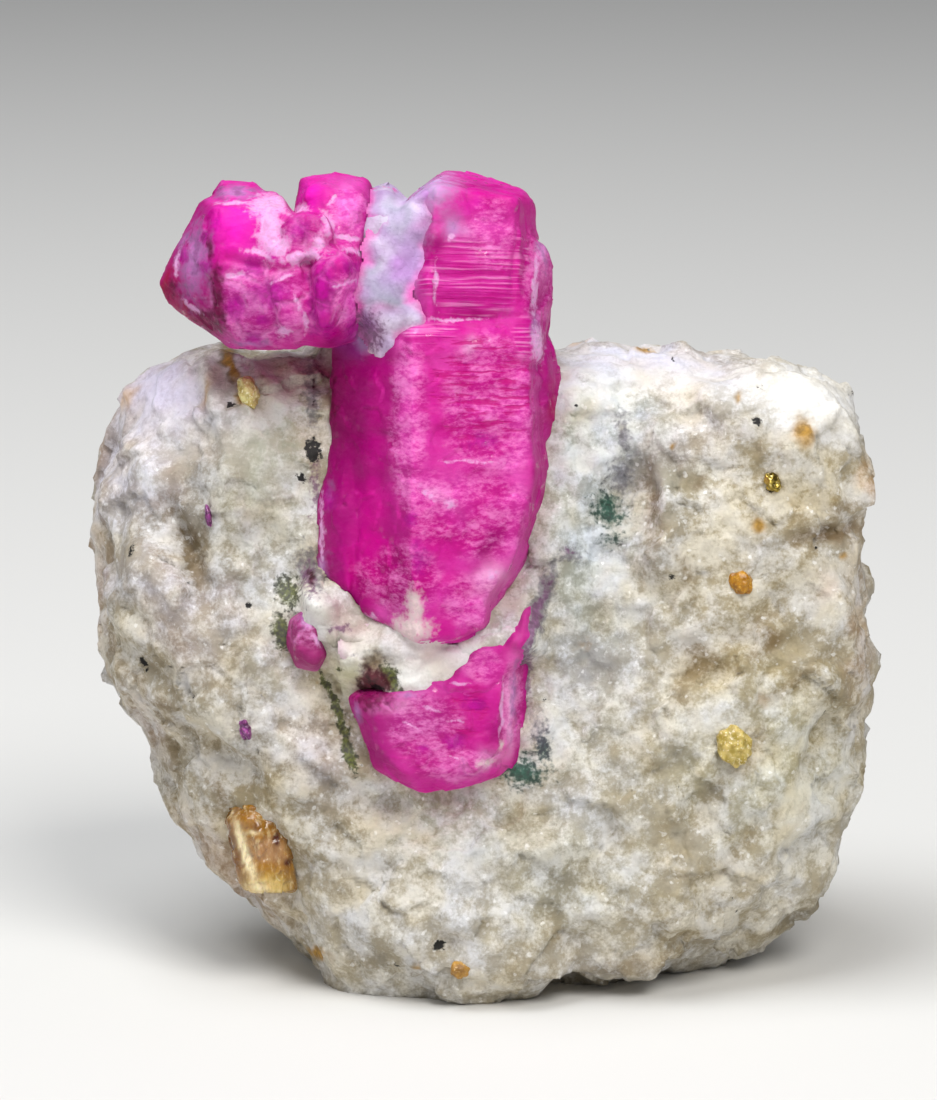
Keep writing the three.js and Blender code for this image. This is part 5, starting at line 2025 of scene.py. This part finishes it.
def lower_ruby() -> Ruby:
    """The ruby in the marble below the main crystal.

    Returns:
        The ruby.
    """
    tones = washes(
        (Tone.DEEP, (-5.1, -10.2, 0.9, 1.8), (-5.6, -11.6, 0.8, 1.2, 0.9)),
        (Tone.MAUVE, (-2.7, -10.4, 2, 1.8, 0.8), (-3.4, -8.5, 1.1, 0.4, 0.6)),
        (Tone.MAGENTA, (0.5, -9.4, 1.2, 1.9, 0.9), (-3.2, -13, 2.2, 0.5, 0.5),
            (-2, -11.4, 1.8, 0.8, 0.5)),
        (Tone.PINK, (0.6, -6.6, 1.1, 0.9, 0.6), (-1, -12.8, 1.6, 0.6, 0.5),
            (2.9, -5.2, 0.4, 2.2, 0.5, -20)),
        (Tone.DEEP, (1.4, -10.6, 0.4, 0.9, 0.9, -8), (-0.6, -10.9, 1, 0.5, 0.5)),
        (Tone.BLUSH, (-4, -9, 0.9, 0.6, 0.7), (1.1, -12.3, 0.9, 0.5, 0.9, 24)),
        (Tone.DUSTY, (-2, -10.4, 3.6, 2.6, 0.3), (-6.3, -9.2, 0.6, 1.2, 0.7),
            (3.2, -4.6, 0.5, 1.8, 0.5, -26)),
        (Tone.PALE_PINK, (2.4, -9.6, 0.35, 2.4, 0.8, -4)),
    )
    marks = {
        RubyMark.LILAC: ovals(
            (-6.5, -9.4, 0.4, 1, 0.6), (2.6, -8.6, 0.3, 2.6, 0.7, -4), (-3.4, -8.4, 1, 0.35, 0.6),
        ),
        RubyMark.DUSK: ovals(
            (-0.9, -11.2, 0.7, 0.5), (0.4, -9, 0.6, 0.4), (-2.6, -11.6, 0.6, 0.4, 0.7),
        ),
        RubyMark.WINE: ovals((-5.6, -8, 1.1, 0.9, 1.4), (-5.8, -8.9, 0.5, 0.6)),
        RubyMark.MILK: ovals(
            (1.95, -9.3, 0.12, 2.4, 0.8, -4), (-0.5, -7.8, 0.7, 0.1, 0.8, 2),
            (-0.75, -9.95, 0.6, 0.1, 0.7), (-3.4, -10.2, 0.7, 0.12, 0.8, -24),
            (-0.75, -12.05, 0.6, 0.1, 0.7, 4), (-2.2, -9.2, 0.7, 0.14, 0.7, -20),
        ),
        RubyMark.STONE: ovals((1, -12.4, 0.8, 0.4, 0.55, 24), (1.9, -11.4, 0.3, 0.6, 0.5, -20)),
    }
    mottled = ovals(
        (-2.4, -10.4, 2.6, 2.4), (-1, -12.4, 2.6, 1.4), (0.8, -6.8, 1.8, 1.6, 0.8), (2.6, -9, 0.9, 3),
    )
    dashed = ovals((0, -9.4, 2, 2.8, 0.7))
    forms = ovals(
        (2, -9.3, 0.2, 2.4, -0.16, -4), (1, -12.2, 0.9, 0.4, -0.12, 24), (-5.6, -7.9, 0.8, 0.7, -0.25),
    )
    grown = ovals((-5.2, -8.6, 1.4, 1.2), (0.6, -12.4, 1.6, 0.9, 1, 20))
    drags = (Drag(Spot(-5.9, -8.8, 1.2, 1.4), -0.5, 0.1),)
    return Ruby(
        "lower_ruby", "lower_ruby_crystal", 0.1, 0.1, tones, marks,
        mottled, [], dashed, grown, forms, drags=drags,
    )


def side_ruby() -> Ruby:
    """The small ruby at the left of the band of marble.

    Returns:
        The ruby.
    """
    tones = washes(
        (Tone.DUSTY, (-9.6, -5, 1.8, 2.6, 2)),
        (Tone.BLUSH, (-9.6, -4.2, 0.7, 0.6, 0.4), (-9, -6.9, 1.4, 0.25, 0.5)),
        (Tone.DUSTY, (-9.3, -6.3, 1, 0.8, 0.9)),
    )
    marks = {
        RubyMark.LILAC: ovals((-9.6, -4, 0.6, 0.8, 0.5)),
        RubyMark.MILK: ovals((-9.3, -4.2, 0.5, 0.6, 0.7), (-8.9, -5.2, 0.25, 0.6, 0.8, 30)),
    }
    mottled = ovals((-9.4, -4.4, 1.6, 1.5))
    forms = ovals((-9.7, -5.2, 0.3, 0.7, -0.2), (-9, -6.2, 0.5, 0.4, 0.2))
    return Ruby(
        "side_ruby", "side_ruby_crystal", 0.09, 0.12, tones, marks, mottled, [], [], mottled, forms,
    )


# --- the other minerals


@dataclass
class HoneyCrystal:
    """The stubby honey-brown crystal at the lower left.

    Attributes:
        voxel: size of the mesh's faces.
        swell: how far it is grown all over, to meet the marble.
        worn: how many times its edges are evened out.
        drag: the pull that draws up its right shoulder.
    """

    voxel: float = 0.09
    swell: float = 0.08
    worn: int = 6
    drag: Drag = Drag(Spot(-11.2, -17.0, 1.0, 1.1), 0.1, 0.7)

    def tones(self) -> list[Wash]:
        """Its tones: brown top and left side, a cream front edge and a cream touch on the top that are
        painted highlight, tan front, straw foot.

        Returns:
            The washes, the later ones over the earlier.
        """
        return washes(
            (Tone.PINK_TAN, (-11.8, -17.8, 1, 0.9, 1.4)),
            (Tone.HONEY, (-12.5, -16.2, 1.5, 0.8, 1.4), (-11.9, -18.8, 0.9, 0.4, 1.2, -10)),
            (Tone.DARK_HONEY, (-13.9, -17.8, 0.4, 1.9, 1.3, 14), (-12.5, -16.3, 0.4, 0.4, 0.9),
                (-11.6, -16.1, 0.4, 0.5, 0.8)),
            (Tone.STRAW, (-11.9, -20, 1.3, 0.7, 1.5)),
            # cream: painted highlight down the front edge and on the top, the crystal's own pale tone at
            # the foot
            (Tone.CREAM, (-13.2, -18, 0.26, 1.7, 1.5, 18), (-12.7, -16.7, 0.4, 0.14, 0.8),
                (-12.4, -20, 0.6, 0.3, 0.8)),
            (Tone.MAROON, (-11.35, -17.1, 0.17, 0.36, 1.8), (-10.75, -18.5, 0.12, 0.18, 1.6)),
        )

    def build(self) -> None:
        """Makes the crystal, sculpted, marked and dressed."""
        mesh = remeshed("amber_crystal", self.voxel)
        smoothed(mesh, self.worn)
        surface = Surface(mesh)
        facets = 0.16 * NOISE.facets(surface.where, 1.1) + 0.1 * NOISE.facets(surface.where, 0.5)
        surface.push(self.swell + facets + 0.05 * NOISE.fractal(surface.where, 1.2, 2))
        self.drag.pull(surface)
        surface.write()
        where = surface.where
        clouds = smoothstep(NOISE.fractal(where, 0.9, 2), -0.5, 0.5)
        colours = blended(Tone.DARK_HONEY.rgb, Tone.HONEY.rgb, clouds)
        front = surface.front(-0.2, 0.2)
        ragged = NOISE.warped(where, 0.6, 0.12)
        surface.paint("zone", washed(colours, self.tones(), ragged, front))
        piece = linked("honey_crystal", mesh)
        finished(piece, "amber_crystal", HoneyFinish().material())


@dataclass
class MineralGrain:
    """A small grain of another mineral, half sunk in the marble.

    Attributes:
        node: its CAD node.
        slot: not used.
        finish: its finish.
        swell: how far it is grown to meet the marble.
        rough: how uneven its surface is.
        turn: how far its long side is turned anticlockwise from upright, in degrees.
        across: how much narrower it is than its node.
        along: how much longer it is.
        sharp: an edge that turns more than this is worn, in radians.
        worn: how much of it is worn away.
        cuts: how finely its faces are divided.
    """

    node: str
    slot: str
    finish: GrainFinish
    swell: float = 0.12
    rough: float = 0.1
    turn: float = 0.0
    across: float = 1.0
    along: float = 1.0
    sharp: float = 0.3
    worn: float = 0.12
    cuts: int = 3

    def shaped(self, where: Array) -> Array:
        """Draws the grain out along its long side.

        Args:
            where: its points.

        Returns:
            The moved points.
        """
        turn = math.radians(self.turn)
        middle = where.mean(axis=0)
        part = where - middle
        wide = (part[:, 0] * math.cos(turn) + part[:, 1] * math.sin(turn)) * self.across
        tall = (part[:, 1] * math.cos(turn) - part[:, 0] * math.sin(turn)) * self.along
        right = wide * math.cos(turn) - tall * math.sin(turn)
        up = wide * math.sin(turn) + tall * math.cos(turn)
        return middle + np.stack([right, up, part[:, 2]], axis=1)

    def build(self) -> None:
        """Makes the grain, its corners worn and its faces uneven."""
        mesh = merged(self.node)
        worn = {"offset": self.worn * MM, "segments": 2, "profile": 0.5}
        with edited(mesh) as shape:
            sharp = [edge for edge in shape.edges if edge.calc_face_angle(0.0) > self.sharp]
            bmesh.ops.bevel(shape, geom=sharp, affect="EDGES", material=-1, **worn)
            bmesh.ops.triangulate(shape, faces=shape.faces)
            bmesh.ops.subdivide_edges(shape, edges=shape.edges, cuts=self.cuts, use_grid_fill=True)
            bmesh.ops.recalc_face_normals(shape, faces=shape.faces)
        surface = Surface(mesh)
        surface.push(self.swell + self.rough * NOISE.fractal(surface.where, 0.5, 2))
        surface.where = self.shaped(surface.where)
        surface.write()
        piece = linked(self.node + "_crystal", mesh)
        finished(piece, self.node, self.finish.material())


def grains() -> list[MineralGrain]:
    """The grains of other minerals in the marble.

    Returns:
        The grains.
    """
    orange = GrainFinish("orange_glass", "#bc861c", "#98640c", "#dcac40")
    ochre = GrainFinish("ochre_grain_finish", "#b98a38", "#8c6424", "#dcc088", 0.4)
    yellow = GrainFinish("pale_yellow", "#cdb86c", "#a08a34", "#eee6c4", 0.3)
    straw = GrainFinish("straw_yellow", "#e2d896", "#bca458", "#fdf8d4", 0.35)
    purple = GrainFinish("purple_grain_finish", "#8f3a86", "#4f1648", "#c488be", 0.3)
    brassy = GrainFinish("brassy_grain_finish", "#c7ae54", "#5a4a1c", "#f4e6a4", 0.28, 1.0, 0.0)
    return [
        MineralGrain("orange_grain", "orange_mineral", orange, 0.1, 0.14, 30, 0.95, 1.05),
        MineralGrain("oval_grain", "ochre_mineral", ochre, 0.1, 0.14, -40, 0.9, 1.0),
        MineralGrain("yellow_grain", "yellow_mineral", yellow, 0.08, 0.14, 20, 0.9, 1.1),
        MineralGrain("straw_grain", "yellow_mineral", straw, 0.1, 0.12, 34, 0.75, 1.35),
        MineralGrain("purple_grain_upper", "purple_mineral", purple, 0.06, 0.12, 14, 0.5, 1.2),
        MineralGrain("purple_grain_lower", "purple_mineral", purple, 0.06, 0.14, 30, 0.7, 1.1),
        MineralGrain("pyrite_grain", "brassy_mineral", brassy, 0.1, 0.16),
    ]


# --- the studio


@dataclass(frozen=True)
class Lamp:
    """A soft square light that looks at the stone.

    Attributes:
        name: its name.
        place: where it stands, in metres.
        size: length of its sides, in metres.
        power: its power, in watts.
        colour: its colour, linear.
    """

    name: str
    place: tuple[float, float, float]
    size: float
    power: float
    colour: Colour = (1.0, 1.0, 1.0)

    def build(self, aim: Vector) -> None:
        """Adds the light to the scene.

        Args:
            aim: the point that it looks at.
        """
        data = bpy.data.lights.new(self.name, "AREA")
        data.shape = "SQUARE"
        data.size = self.size
        data.energy = self.power
        data.color = self.colour
        lamp = bpy.data.objects.new(self.name, data)
        lamp.location = self.place
        lamp.rotation_euler = (aim - Vector(self.place)).to_track_quat("-Z", "Y").to_euler()
        bpy.context.scene.collection.objects.link(lamp)


@dataclass
class Studio:
    """A pale floor, soft lights and the camera that looks straight at the show face.

    Attributes:
        distance: from the camera to the show face's origin, in metres.
        lens: focal length.
        sensor: width of the sensor.
        near: nearest distance that the camera sees, in metres.
        floor: length of the floor's sides, in metres.
        paper: colour of the floor.
        surround: colour of the soft light from all round, linear.
        surround_power: how strong it is.
    """

    distance: float = 0.28
    lens: float = 151.2
    sensor: float = 36.0
    near: float = 0.01
    floor: float = 6.0
    paper: str = "#dad9d6"
    surround: Colour = (0.93, 0.95, 1.0)
    surround_power: float = 0.2

    def lamps(self) -> list[Lamp]:
        """The lights: one from above, a key at the upper right and a weak fill at the left.

        Returns:
            The lights.
        """
        return [
            Lamp("key_light", (0.2, -0.42, 0.54), 0.30, 3.3, (1.0, 0.985, 0.96)),
            Lamp("top_light", (-0.2, -0.10, 0.70), 0.45, 4.2, (0.95, 0.97, 1.0)),
            Lamp("fill_light", (-0.5, -0.5, 0.3), 0.5, 0.7, (1.0, 0.98, 0.96)),
        ]

    def build(self) -> None:
        """Makes the floor, the lights, the soft surround and the camera."""
        mesh = bpy.data.meshes.new("floor")
        with edited(mesh) as shape:
            bmesh.ops.create_grid(shape, x_segments=1, y_segments=1, size=self.floor / 2)
        floor = linked("floor", mesh)
        paper = Graph("pale_paper")
        paper.shade(Base_Color=linear(self.paper), Roughness=0.85, Specular_IOR_Level=0.2)
        mesh.materials.append(paper.material)
        aim = Vector(FACE.to_world(np.zeros((1, 3)))[0])
        for lamp in self.lamps():
            lamp.build(aim)
        world = bpy.data.worlds.new("studio")
        world.use_nodes = True
        surround = world.node_tree.nodes["Background"]
        surround.inputs["Color"].default_value = (*self.surround, 1)
        surround.inputs["Strength"].default_value = self.surround_power
        bpy.context.scene.world = world
        self.add_camera(aim)
        bpy.context.scene.view_settings.view_transform = "Standard"

    def add_camera(self, aim: Vector) -> None:
        """Adds the camera, which looks along the show face's own out direction.

        Args:
            aim: the point that it looks at.
        """
        data = bpy.data.cameras.new("camera")
        data.lens = self.lens
        data.sensor_width = self.sensor
        data.clip_start = self.near
        camera = bpy.data.objects.new("camera", data)
        back = Vector((0, -math.cos(FACE.lean), math.sin(FACE.lean)))
        camera.location = aim + back * self.distance
        camera.rotation_euler = (-back).to_track_quat("-Z", "Y").to_euler()
        bpy.context.scene.collection.objects.link(camera)
        bpy.context.scene.camera = camera


# --- making it


def main() -> None:
    """Builds the studio, then each piece of the stone in order."""
    logging.basicConfig(level=logging.INFO, format="%(message)s")
    Studio().build()
    marble = marble_block()
    stone, ruby = MarbleFinish().material(), RubyFinish().material()
    rubies = [ruby_cluster(), lower_ruby(), side_ruby()]
    pieces = [marble.build(stone)] + [crystal.build(ruby) for crystal in rubies]
    under = [tree_of(piece.data) for piece in pieces]
    ruby_wedge().build(rubies[1].dress, under, "ruby", ruby)
    for crust in crusts():
        crust.build(marble.dress, under, "marble", stone)
    HoneyCrystal().build()
    for grain in grains():
        grain.build()


if __name__ == "__main__":
    main()
